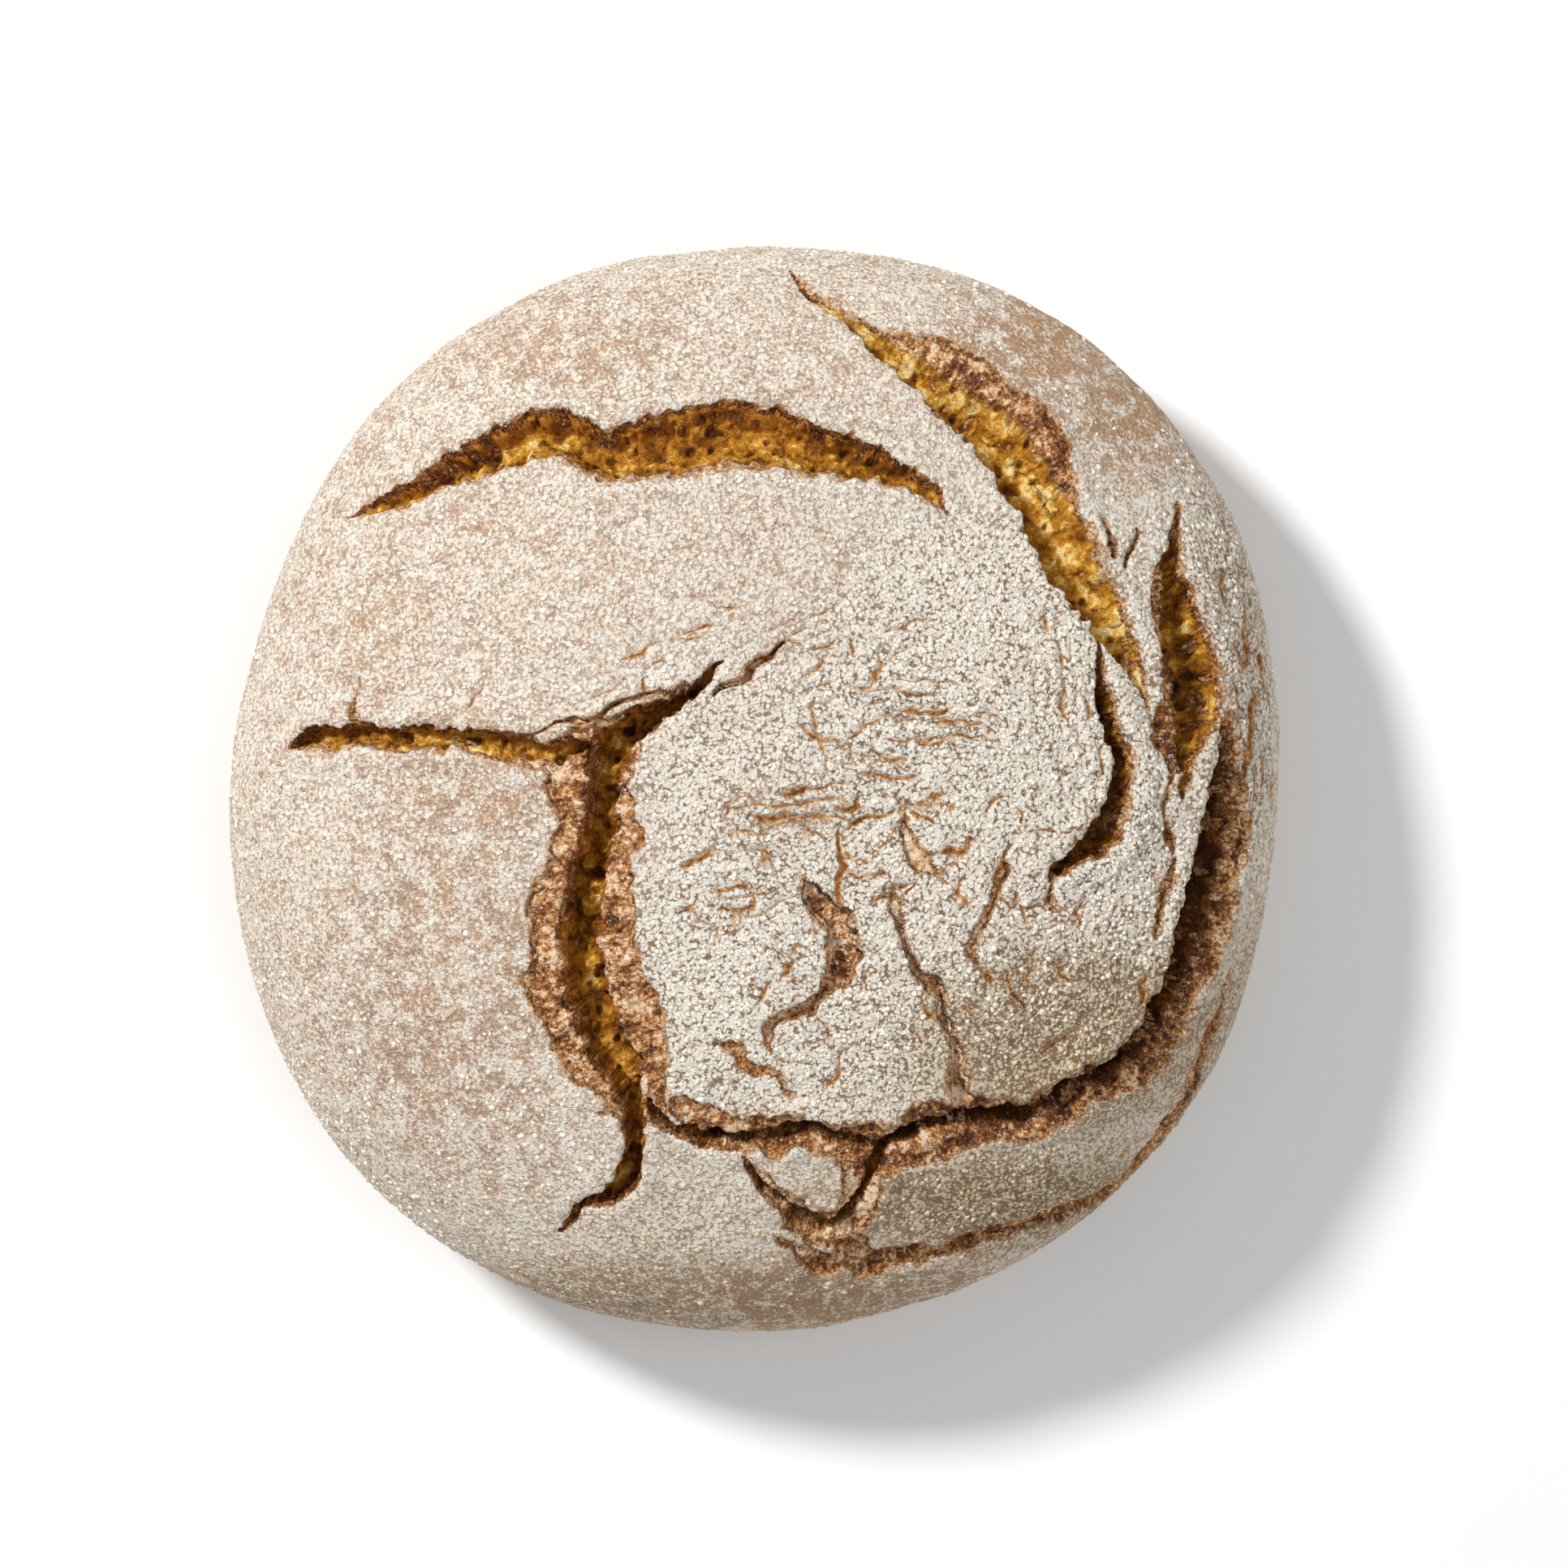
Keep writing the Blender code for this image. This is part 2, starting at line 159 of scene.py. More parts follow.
# Thin cracks and deep wrinkles as the camera sees them, in millimetres about the frame: x, y, half width
fineCracks = [
    [(-29.5, 27.8, 0.3), (-27, 28.5, 0.6), (-24.5, 30, 0.7), (-22.5, 31.8, 0.5), (-20, 32.5, 0.2)],
    [(-17, 33, 0.2), (-14, 34.6, 0.5), (-10.5, 35.6, 0.5), (-7, 35.8, 0.2)],
    [(-16, 31.5, 0.2), (-12.5, 32.6, 0.5), (-10, 33, 0.2)],
    [(-24.8, 25.5, 0.2), (-24.2, 23, 0.6), (-24, 20.5, 0.8)],
    [(-20, 30.5, 0.2), (-20.5, 28, 0.4), (-23.5, 26, 0.3)],
    [(-34.5, 20, 0.3), (-31, 21.5, 0.4), (-28.5, 24, 0.3)],
    [(-10, 41, 0.2), (-7, 40, 0.3), (-4, 40, 0.4), (-1, 40.2, 0.2)],
    [(6, 35, 0.2), (7, 33, 0.5), (9.5, 31.5, 0.5), (12, 31, 0.3)],
    [(14, 30.5, 0.4), (17, 31.5, 0.6), (19, 33, 0.2)],
    [(11, 24.3, 0.3), (14, 26.5, 0.7), (16, 28.5, 0.4)],
    [(22, 32, 0.4), (22.5, 30, 0.5), (22, 28, 0.2)],
    [(20.5, 23, 0.3), (23, 22.2, 0.4), (26, 22.6, 0.4), (27.5, 25, 0.6), (28, 28, 0.5), (28.2, 31, 0.3)],
    [(13.5, 20, 0.2), (13, 17, 0.4), (13.8, 14, 0.5), (14.2, 11, 0.6), (15.5, 8.5, 0.5), (16.5, 4, 0.3)],
    [(10.5, 13, 0.4), (12.5, 11.5, 0.6), (15, 10.8, 0.6), (18, 10.5, 0.6), (19.3, 9.5, 0.3)],
    [(21, 10.5, 0.3), (23, 12.3, 0.6), (25, 13.8, 0.4), (28, 15, 0.3)],
    [(26.5, 8.3, 0.5), (28, 6.6, 0.6), (31, 6, 0.6), (34.5, 5.8, 0.3)],
    [(6, -1.5, 0.3), (8, -1.2, 0.9), (10.5, -1, 0.9), (12, 0, 0.3)],
    [(0, -6.5, 0.5), (2.5, -7.2, 1.0), (5, -6.8, 0.8), (8, -6.2, 0.6), (10, -6.5, 0.3)],
    [(12, -6.8, 0.3), (14.5, -6.2, 0.9), (16.5, -7.5, 0.4)],
    [(18, -4.8, 0.3), (20, -5.3, 0.9), (22.5, -5, 0.9), (23, -3, 0.6), (24.2, -2, 0.3)],
    [(20.5, -9.5, 0.3), (22.5, -8.5, 0.8), (25, -7, 0.7), (28, -6.8, 0.6), (30, -6, 0.6), (32, -5, 0.3)],
    [(-6, -6, 0.5), (-5, -3.5, 0.5), (-2, -2, 0.2)],
    [(-6, -11, 0.3), (-3.5, -10.2, 0.5), (0, -10.5, 0.5), (3, -11, 0.3)],
    [(-15, -17.5, 0.5), (-13, -16.5, 0.8), (-10.5, -15, 0.7), (-8.5, -13, 0.3)],
    [(-9, -22.8, 0.4), (-6, -22.6, 0.6), (-3, -22, 0.6), (0, -23, 0.5), (0.5, -25.5, 0.5), (-1, -27, 0.7),
     (-4, -27.5, 0.7), (-7.5, -27.2, 0.4)],
    [(-16, -27.7, 0.5), (-13.5, -27.2, 0.5), (-11.5, -29.3, 0.4)],
    [(0.5, -13.8, 0.5), (2.5, -14, 0.6), (4, -16.5, 0.5), (5, -19, 0.3)],
    [(19, -9, 0.3), (19, -12, 0.7), (20, -17, 1.0), (18.5, -21, 0.9), (18.5, -25, 0.9), (19, -28, 1.0)],
    [(20.5, -19.3, 0.6), (23, -19.8, 0.5), (26, -20, 0.6), (29, -19.6, 0.4)],
    [(26, -26, 0.4), (28, -24.8, 0.8), (30.4, -24.8, 0.6)],
    [(30, -22.5, 0.4), (32.5, -22, 0.6), (35, -21.5, 0.3)],
    [(28.5, -35.5, 0.3), (27.5, -36.5, 0.4), (25.5, -37.5, 0.2)],
    [(24.8, -40, 0.3), (24.8, -42.5, 0.6), (24, -44, 0.3)],
    [(2.5, -35.4, 0.3), (4.5, -35.8, 0.4), (6.5, -37.8, 0.3)],
    [(3.5, -44.5, 0.5), (2, -46.5, 0.6), (0.5, -48, 0.3)],
    [(5.5, -60.5, 0.3), (7.5, -61.2, 0.4), (10, -61, 0.4), (12.5, -61, 0.3)],
    [(14.5, -51.5, 0.4), (16.5, -54, 0.5), (16.5, -57, 0.3)],
    [(17, -66.5, 0.6), (19, -64, 0.5), (19.5, -59, 0.3), (22.5, -57, 0.3)],
    [(35.5, -54, 0.4), (37, -56, 0.5), (38, -57.5, 0.3)],
    [(42, -14.5, 0.6), (44, -14, 0.9), (46, -15.5, 0.6)],
    [(46, -21, 0.4), (45.5, -25, 0.4)],
    [(32.3, 21.5, 0.4), (35, 20.7, 0.5), (38, 20.2, 0.5), (42, 20.3, 0.2)],
    [(31, 17.3, 0.3), (34, 17, 0.6), (38, 16.4, 0.7), (41, 16.6, 0.7), (43.5, 17.2, 0.5), (45, 18.2, 0.2)],
    [(40, 14.4, 0.5), (43, 14.6, 0.6), (47, 14.5, 0.6), (50, 13.9, 0.4)],
    [(43, 12, 0.3), (45, 11.5, 0.6), (48, 11.2, 0.6), (51, 11.0, 0.4), (54, 10.3, 0.3)],
    [(30, 10.3, 0.5), (33, 10, 0.4), (36, 10.3, 0.5), (38, 9.3, 0.5), (41.5, 10, 0.4)],
    [(24, 3, 0.3), (27, 2.6, 0.5), (30, 2, 0.6), (34, 1.9, 0.6), (37, 2.6, 0.3)],
    [(50, 16.2, 0.4), (52, 16.3, 0.5), (55, 15.2, 0.3)],
    [(64.6, 38.3, 0.4), (65, 36, 0.8), (65.4, 34.5, 0.3)],
    [(68.5, 31, 0.3), (69, 28, 0.5), (68.5, 25, 0.3)],
    [(69, 22, 0.3), (68.5, 18, 0.6), (69.5, 15, 0.3)],
    [(73, 20, 0.4), (74, 17, 0.7), (73.5, 14, 0.3)],
    [(76.5, 8, 0.3), (77.5, 5, 0.6), (76.5, 2, 0.3)],
    [(52, -5, 0.5), (53.5, -3.2, 0.6), (56.5, -2.3, 0.3)],
    [(29.5, 34.5, 0.4), (32.5, 35.3, 0.4), (36, 37.3, 0.4), (38.5, 37.6, 0.4)],
    [(53.5, -24.5, 0.8), (57, -26.5, 0.5)],
    [(57, -13.5, 0.4), (55, -18, 0.8), (54, -21, 0.8)],
    [(66.5, -16, 0.6), (67, -19.5, 0.7), (66, -22, 0.6), (65.7, -25, 0.7), (67, -27.5, 0.5),
     (70, -26.8, 0.3)],
    [(60, -27.2, 0.4), (63.5, -26.8, 0.6), (65.5, -26.3, 0.4)],
    [(73, -24.5, 0.4), (72, -28, 0.6), (72, -31, 0.3)],
    [(62.5, -37, 0.4), (62, -40, 0.5), (61, -43, 0.3)],
    [(56.5, -42, 0.4), (58, -46, 0.7), (60, -48, 0.5), (60.5, -51, 0.3)],
    [(67, -39, 0.4), (68.5, -42.5, 0.6), (71, -43.2, 0.3)],
    [(65, -59, 0.4), (68, -56, 0.6), (70, -54.5, 0.4), (74, -53, 0.2)],
    [(87, -42, 0.6), (86, -46, 0.9), (85, -48.5, 0.4)],
    [(49.5, -37, 0.3), (50.5, -40, 0.4), (52, -42.5, 0.9), (52.5, -44.5, 0.3)],
    [(104.5, 48, 0.4), (105, 43, 0.7), (105.5, 40, 0.4)],
    [(109.5, 42, 0.3), (110, 38, 0.5), (109.5, 34, 0.6), (110.3, 30, 0.8), (109.7, 27, 0.5)],
    [(107, 33, 0.3), (108.5, 29, 0.6), (109, 26, 0.3)],
    [(106.5, 24, 0.4), (107.2, 20, 0.6), (107.8, 16, 0.4)],
    [(111.5, 19, 1.1), (110.5, 15, 1.0), (110, 10, 0.8), (109.5, 6, 0.5)],
    [(113, 29, 0.8), (113.5, 24, 0.7), (114, 21, 0.3)],
    [(108.8, 7, 0.5), (108.8, 3, 0.9), (109, -1, 0.5)],
    [(112.8, 8, 0.3), (113, 3, 0.6), (113, -2, 0.3)],
    [(115, 3, 0.3), (115, 0, 0.5), (114.5, -4, 0.3)],
    [(109.5, -6, 0.5), (109.5, -9, 0.9), (109.3, -12, 0.3)],
    [(-87.5, 24, 0.3), (-88.5, 22.5, 0.6), (-89, 20.8, 0.3)],
    [(-60, 24, 0.2), (-61, 20.5, 0.4), (-63.5, 17.5, 0.5)],
]

# Where the skin is wrinkled: centre, reach along and across the folds, direction in degrees, spacing, depth
wrinkles = [
    (38, 15, 17, 11, -6, 3.4, 1.0), (-4, -23, 15, 11, 8, 3.4, 0.8), (4, 32, 24, 6, 22, 2.8, 0.7),
    (64, 22, 34, 8, 97, 3.2, 0.6), (106, 20, 60, 9, 93, 3.0, 0.8), (70, 84, 26, 13, -48, 3.4, 0.5),
    (96, -60, 32, 8, 62, 3.2, 0.55), (7, -4, 19, 9, 4, 3.2, 0.95), (20, 24, 20, 8, 35, 3.2, 0.6),
    (-75, -70, 30, 14, -50, 4.2, 0.2), (28, 2, 14, 6, -18, 3.0, 0.8),
]

# Where the flour lies thick and pebbly, and where it is thin: centre, reach in x and y, amount
pebbleSpots = [(50, 5, 48, 58, 1.0), (10, -40, 46, 40, 1.0), (62, -30, 40, 40, 1.0), (100, 25, 22, 50, 0.7),
               (62, -86, 34, 14, 0.6), (-20, -92, 34, 12, 0.5), (-4, 5, 30, 30, 0.7)]
thinSpots = [(6, -5, 17, 7, 0.3), (80, 82, 26, 16, 0.42), (-66, -4, 20, 22, 0.25), (-68, -40, 26, 30, 0.28),
             (-45, 96, 30, 14, 0.25), (62, 96, 24, 14, 0.45), (-85, 30, 14, 20, 0.15),
             (20, -112, 60, 10, 0.28)]


def eased(share):
    share = np.clip(share, 0, 1)
    return share * share * (3 - 2 * share)


def latticeNoise(points, spacing, seed, side=48):
    # Smooth values between -1 and 1 from a seeded table, blended between its points
    table = np.random.default_rng(seed).uniform(-1, 1, (side, side, side))
    place = points / spacing + side / 2
    low = np.floor(place).astype(int)
    blend = eased(place - low)
    total = np.zeros(points.shape[:-1])
    for corner in np.ndindex(2, 2, 2):
        at = (low + corner) % side
        pick = np.where(np.array(corner) == 1, blend, 1 - blend)
        total += pick[..., 0] * pick[..., 1] * pick[..., 2] * table[at[..., 0], at[..., 1], at[..., 2]]
    return total


def layered(points, layers, seed):
    return sum(size * latticeNoise(points, spacing, seed + n) for n, (spacing, size) in enumerate(layers))


def outlineRadius(angle):
    waves = loafBody["outlineWaves"]
    return loafBody["meanRadius"] + sum(s * np.cos(n * angle + math.radians(p)) for n, s, p in waves)


def domeHeight(x, y):
    share = np.clip(np.hypot(x, y) / outlineRadius(np.arctan2(y, x)), 0, 1)
    rise = loafBody["height"] - loafBody["waistHeight"]
    return loafBody["waistHeight"] + rise * np.sqrt(1 - share ** loafBody["domeFullness"])


def sideProfile():
    share = np.sin(np.linspace(0, math.pi / 2, 400))
    waist, tuck = loafBody["waistHeight"], loafBody["tuckUnder"]
    dome = waist + (loafBody["height"] - waist) * np.sqrt(1 - share ** loafBody["domeFullness"])
    drop = np.linspace(0, waist, 200)[1:]
    belly = 1 - tuck + tuck * np.sqrt(1 - (drop / (waist + loafBody["flattened"])) ** 2)
    shares, heights = np.concatenate([share, belly]), np.concatenate([dome, waist - drop])
    steps = np.hypot(np.diff(shares) * loafBody["meanRadius"], np.diff(heights))
    length = np.concatenate([[0], np.cumsum(steps)])
    return length / length[-1], shares, heights


def bentGrid(squares):
    # A square grid bent over the loaf from its crown to the base's edge
    u, v = np.meshgrid(np.linspace(-1, 1, squares + 1), np.linspace(-1, 1, squares + 1))
    wide = abs(u) >= abs(v)
    signedRing = np.where(wide, u, v)
    turn = np.where(wide, v, u) / np.where(signedRing == 0, 1, signedRing) * math.pi / 4
    angle = np.where(wide, turn, math.pi / 2 - turn) + np.where(signedRing < 0, math.pi, 0)
    length, shares, heights = sideProfile()
    ring = abs(signedRing)
    radius = np.interp(ring, length, shares) * outlineRadius(angle)
    height = np.interp(ring, length, heights)
    return np.stack([radius * np.cos(angle), radius * np.sin(angle), height], axis=2)


def outward(points):
    normal = np.cross(np.gradient(points, axis=1), np.gradient(points, axis=0))
    return normal / np.maximum(np.linalg.norm(normal, axis=2, keepdims=True), 1e-9)


def curveThrough(points, steps=6):
    given = np.array(points, float)
    given = np.vstack([2 * given[0] - given[1], given, 2 * given[-1] - given[-2]])
    t = np.linspace(0, 1, steps, endpoint=False)[:, None]
    stretches = []
    for before, start, end, after in zip(given[:-3], given[1:-2], given[2:-1], given[3:]):
        bend = 2 * before - 5 * start + 4 * end - after
        twist = 3 * start - before - 3 * end + after
        stretches.append(start + (end - before) * t / 2 + bend * t**2 / 2 + twist * t**3 / 2)
    return np.vstack(stretches + [given[-2:-1]])


def beside(route, x, y):
    # Offset from the route, positive to its left, the half width there and the way gone along it
    start, run = route[:-1], np.diff(route, axis=0)
    dx, dy = x[:, None] - start[:, 0], y[:, None] - start[:, 1]
    t = np.clip((dx * run[:, 0] + dy * run[:, 1]) / (run[:, 0] ** 2 + run[:, 1] ** 2), 0, 1)
    away = np.hypot(dx - t * run[:, 0], dy - t * run[:, 1])
    near = np.argmin(away, axis=1)
    row = np.arange(len(x))
    left = run[near, 0] * dy[row, near] - run[near, 1] * dx[row, near]
    half = start[near, 2] + t[row, near] * run[near, 2]
    steps = np.hypot(run[:, 0], run[:, 1])
    gone = (np.cumsum(steps) - steps)[near] + t[row, near] * steps[near]
    return np.where(left > 0, 1, -1) * away[row, near], np.maximum(half, 0.2), gone


raggedCrack = {"layers": [(8.0, 0.5), (4.2, 0.7), (2.1, 0.8), (1.1, 0.5)], "shareOfWidth": 0.36, "seed": 20}
raggedTear = {"layers": [(11.0, 1.8), (5.0, 1.3), (2.4, 1.1), (1.1, 0.6)], "shareOfWidth": 0.26, "seed": 26}
farAway = 99.0


def openings(table, x, y, ragged, reach=6.0):
    # Over all the cracks of a table: depth, darkness of the bake, raised lip, steep wall for painted shade,
    # way gone along
    flat = np.stack([x, y, np.zeros_like(x)], axis=1)
    jag = layered(flat, ragged["layers"], ragged["seed"])
    wander = layered(flat, [(6, 1.0), (2.6, 0.6)], 160)
    found = {name: np.zeros_like(x) for name in ("deep", "bake", "lip", "lee", "along")}
    found["edge"] = np.full_like(x, farAway)  # distance outside the nearest lip
    found["sharp"] = np.zeros_like(x)  # how steep the wall is there
    for depth, leftWall, rightWall, bake, points in table.values():
        route = curveThrough(points)
        widest = route[:, 2].max()
        low, high = route.min(axis=0) - widest - reach, route.max(axis=0) + widest + reach
        near = np.flatnonzero((x > low[0]) & (x < high[0]) & (y > low[1]) & (y < high[1]))
        for some in np.array_split(near, max(1, len(near) // 20000)):
            offset, half, gone = beside(route, x[some], y[some])
            offset = offset + wander[some] * np.clip(1.4 / half - 0.3, 0, 1)
            loose = jag[some] * np.minimum(1.0, half * ragged["shareOfWidth"])
            away = abs(offset) + loose
            share = away / half
            wall = np.where(offset > 0, leftWall, rightWall)
            steep = np.clip(1.25 - wall * 1.2, 0.1, 1)
            taper = eased(2 * half / widest)
            here = depth * eased((1 - share) / wall) * taper
            deeper = here > found["deep"][some]
            found["deep"][some] = np.where(deeper, here, found["deep"][some])
            found["bake"][some] = np.where(deeper, bake, found["bake"][some])
            found["along"][some] = np.where(deeper, gone, found["along"][some])
            # The steep side of the crack, where the crumb gets painted shade
            lee = steep * eased((share - 0.15) / 0.7)
            found["lee"][some] = np.where(deeper, lee, found["lee"][some])
            edge = away - half
            rim = taper * np.exp(-((edge / loafBody["lipWidth"] - 0.5) ** 2) * 3)
            found["lip"][some] = np.maximum(found["lip"][some], rim)
            edge = np.where(taper > 0.05, edge, farAway)
            closer = edge < found["edge"][some]
            found["edge"][some] = np.where(closer, edge, found["edge"][some])
            found["sharp"][some] = np.where(closer, steep, found["sharp"][some])
    return found


def spots(x, y, table):
    total = np.zeros_like(x)
    for cx, cy, rx, ry, amount in table:
        total = np.maximum(total, amount * np.exp(-(((x - cx) / rx) ** 2 + ((y - cy) / ry) ** 2) ** 2))
    return total


def foldFields(x, y, z):
    # Fine wrinkles in the skin: how strong they are, and a value that is 0 along every furrow
    strength, side = np.zeros_like(x), np.ones_like(x)
    points = np.stack([x, y, z], axis=1)
    sway = layered(points, [(13, 2.6), (5.5, 1.5), (2.4, 0.7)], 50)
    for cx, cy, along, across, direction, spacing, depth in wrinkles:
        c, s = math.cos(math.radians(direction)), math.sin(math.radians(direction))
        u, v = (x - cx) * c + (y - cy) * s, (y - cy) * c - (x - cx) * s
        inside = depth * np.exp(-((u / along) ** 2 + (v / across) ** 2) ** 2)
        phase = (v + sway) / spacing
        stretch = np.stack([u / 2.6, (v + sway) * 0.8, np.full_like(u, cx)], axis=1)
        inside = inside * eased((latticeNoise(stretch, 2.8, 62) + 0.30) / 0.5)
        stronger = inside > strength
        side = np.where(stronger, np.sin(math.pi * phase), side)
        strength = np.maximum(strength, inside)
    return strength, side


def asSeen(x, y):
    # From where the camera sees a point of the loaf to the point's own place
    away = np.array([x, y]) - view["middle"]
    toOutline = np.array(view["toOutline"])
    place = np.array([x, y]) + toOutline
    for _ in range(2):
        closer = 1 - (domeHeight(*place) - loafBody["waistHeight"]) / view["distance"]
        place = away * closer + view["middle"] + toOutline
    return place


def lineFields(x, y):
    # The nearest thin crack: distance to its left or right, and its half width, which is 0 away from all
    side, wide = np.full_like(x, 3.0), np.zeros_like(x)
    wobble = layered(np.stack([x, y, np.zeros_like(x)], axis=1), [(2.4, 0.5), (1.2, 0.35)], 150)
    for points in fineCracks:
        route = curveThrough([(*asSeen(px, py), half) for px, py, half in points], 4)
        low, high = route.min(axis=0) - 4, route.max(axis=0) + 4
        near = np.flatnonzero((x > low[0]) & (x < high[0]) & (y > low[1]) & (y < high[1]))
        offset, half, _ = beside(route, x[near], y[near])
        offset = offset + wobble[near]
        closer = abs(offset) < abs(side[near])
        side[near] = np.where(closer, offset, side[near])
        here = half * (1 - eased((abs(offset) - half) / 1.8))
        wide[near] = np.where(closer, here, wide[near])
    return side, wide


def webFields(x, y):
    # Two values, one of which is 0 along the cracks between islands of thick flour
    flat = np.stack([x, y, np.zeros_like(x)], axis=1)
    sway = [layered(flat, [(6, 2.6), (2.6, 1.2)], seed) for seed in (135, 145)]
    bend = np.stack([*sway, np.zeros_like(x)], axis=1)
    return latticeNoise(flat + bend, 9.0, 131), latticeNoise(flat - bend, 12.0, 132)


# Where thin cracks part islands of thick flour, and where the crust is darker, with thinner flour and painted
# shade on the side turned from the key light
webSpots = [(37, -13, 46, 18, 1.2), (12, -50, 34, 26, 1.1), (62, -38, 34, 28, 1.0), (10, 8, 34, 16, 0.8)]
shadeAndThinFlourSpots = [(66, -54, 34, 22, 1.0), (54, -90, 42, 12, 1.0), (104, -62, 18, 34, 0.6),
             (-10, -110, 60, 9, 0.5), (104, 30, 10, 60, 0.3)]


def flourFields(x, y, z):
    points = np.stack([x, y, z], axis=1)
    patchy = latticeNoise(points, 17, 71) * 0.6 + latticeNoise(points, 6.5, 72) * 0.4
    pebble = np.clip(spots(x, y, pebbleSpots) * (1.0 + 0.25 * patchy), 0, 1) * eased((z - 30) / 20)
    flour = np.clip(0.72 + 0.14 * patchy + 0.12 * pebble - 0.75 * spots(x, y, thinSpots), 0.05, 1)
    return flour, pebble


crustGrid = {"squares": 640, "triangles": 196000, "skinThickness": 0.9, "tuckBelowCrumb": 1.8}
skinDetail = {
    "grain": [(7.0, 0.10), (3.0, 0.10), (1.5, 0.10)],  # of the plain skin: spacing, size
    "pebbles": [(3.2, 0.22), (1.7, 0.30), (0.95, 0.16)],  # of thick flour
    "foldDepth": 0.8,
    "lineDepth": 0.6,
    "edgeRoll": 0.25,
    "edgeRollWidth": 0.9,
    "plainBelow": 24,  # no wrinkles or thin cracks below this height
}


def skinRise(x, y, z, split, tear):
    # How far the skin stands off the bare body
    want = skinDetail
    points = np.stack([x, y, z], axis=1)
    humps = loafBody["humps"]
    swell = sum(size * latticeNoise(points, spacing, seed, 24) for spacing, size, seed in humps)
    flour, pebble = flourFields(x, y, z)
    grain = layered(points, want["grain"], 30) + pebble * layered(points, want["pebbles"], 40)
    fold, side = foldFields(x, y, z)
    webOne, webTwo = webFields(x, y)
    lineSide, lineWide = lineFields(x, y)
    upper = eased((z - want["plainBelow"]) / 8)
    fold, lineWide = fold * upper, lineWide * upper
    web = spots(x, y, webSpots) * upper
    # Lumps of flour stay out of the web's cracks, the thin cracks and the furrows
    island = np.minimum(abs(webOne), abs(webTwo)) + np.maximum(0, 0.4 - web * 0.5)
    clear = eased((island - 0.02) / 0.08)
    clear = clear * (1 - 0.8 * eased(lineWide * 3 - 0.4))
    clear = clear * (1 - eased(fold * 2) * eased(1.4 - abs(side) * 2))
    furrow = want["foldDepth"] * fold * eased(1 - abs(side) * 1.6)
    line = want["lineDepth"] * eased(lineWide / 0.5) * np.exp(-(lineSide / (0.3 + lineWide)) ** 2)
    furrow = np.maximum(furrow, line)
    closed = 1 - eased(split["deep"] / 2)
    outside = np.maximum(np.minimum(split["edge"], tear["edge"]), 0)
    edgeRoll = want["edgeRoll"] * np.exp(-outside / want["edgeRollWidth"]) * closed
    rise = swell + loafBody["lipHeight"] * split["lip"] * closed + grain - furrow - edgeRoll
    looks = {"flour": flour, "pebble": pebble, "fold": fold, "side": side, "web": web,
             "lumps": pebble * clear, "clumps": flour * clear, "webOne": webOne, "webTwo": webTwo,
             "dusk": spots(x, y, shadeAndThinFlourSpots), "lineSide": lineSide, "lineWide": lineWide}
    return rise * eased(z / loafBody["baseFade"]), looks


def inFrame(points):
    # From millimetres about the outline's centre to the frame, so that the box is the solid's
    return (points - shift) * mm


def meshOf(name, points, faces, attributes):
    mesh = bpy.data.meshes.new(name)
    mesh.vertices.add(len(points))
    mesh.vertices.foreach_set("co", points.astype(np.float32).ravel())
    mesh.loops.add(faces.size)
    mesh.loops.foreach_set("vertex_index", faces.astype(np.int32).ravel())
    mesh.polygons.add(len(faces))
    mesh.polygons.foreach_set("loop_start", np.arange(0, faces.size, 3, dtype=np.int32))
    for key, values in attributes.items():
        layer = mesh.attributes.new(key, "FLOAT", "POINT")
        layer.data.foreach_set("value", values.astype(np.float32).ravel())
    mesh.update(calc_edges=True)
    mesh.validate()
    made = bpy.data.objects.new(name, mesh)
    bpy.context.scene.collection.objects.link(made)
    return made


def thinned(made, triangles):
    # Fewer triangles where the surface is even, then the modifier's result as a plain mesh
    made.data.calc_loop_triangles()
    thin = made.modifiers.new("thin", "DECIMATE")
    thin.ratio = min(1, triangles / len(made.data.loop_triangles))
    thin.use_collapse_triangulate = True
    graph = bpy.context.evaluated_depsgraph_get()
    evaluated = made.evaluated_get(graph)
    done = bpy.data.meshes.new_from_object(evaluated, preserve_all_data_layers=True, depsgraph=graph)
    made.modifiers.clear()
    old, made.data = made.data, done
    bpy.data.meshes.remove(old)
    done.shade_smooth()
    return made


def halved(quads):
    # Four-sided faces cut into triangles
    return np.vstack([quads[:, [0, 1, 2]], quads[:, [0, 2, 3]]])


def gridFaces(rows, columns, keep=None):
    at = np.arange(rows * columns).reshape(rows, columns)
    quads = np.stack([at[:-1, :-1], at[:-1, 1:], at[1:, 1:], at[1:, :-1]], axis=2)
    return quads.reshape(-1, 4) if keep is None else quads[keep]


# Lumps of flour set in outside a lip and above the base, each over a fade, and fewer lie where the crust is
# darker with thinner flour and painted shade
lumpLimits = {"lip": 0.2, "lipFade": 0.8, "base": 2, "baseFade": 4, "fewerInShadeAndThinFlour": 0.3}


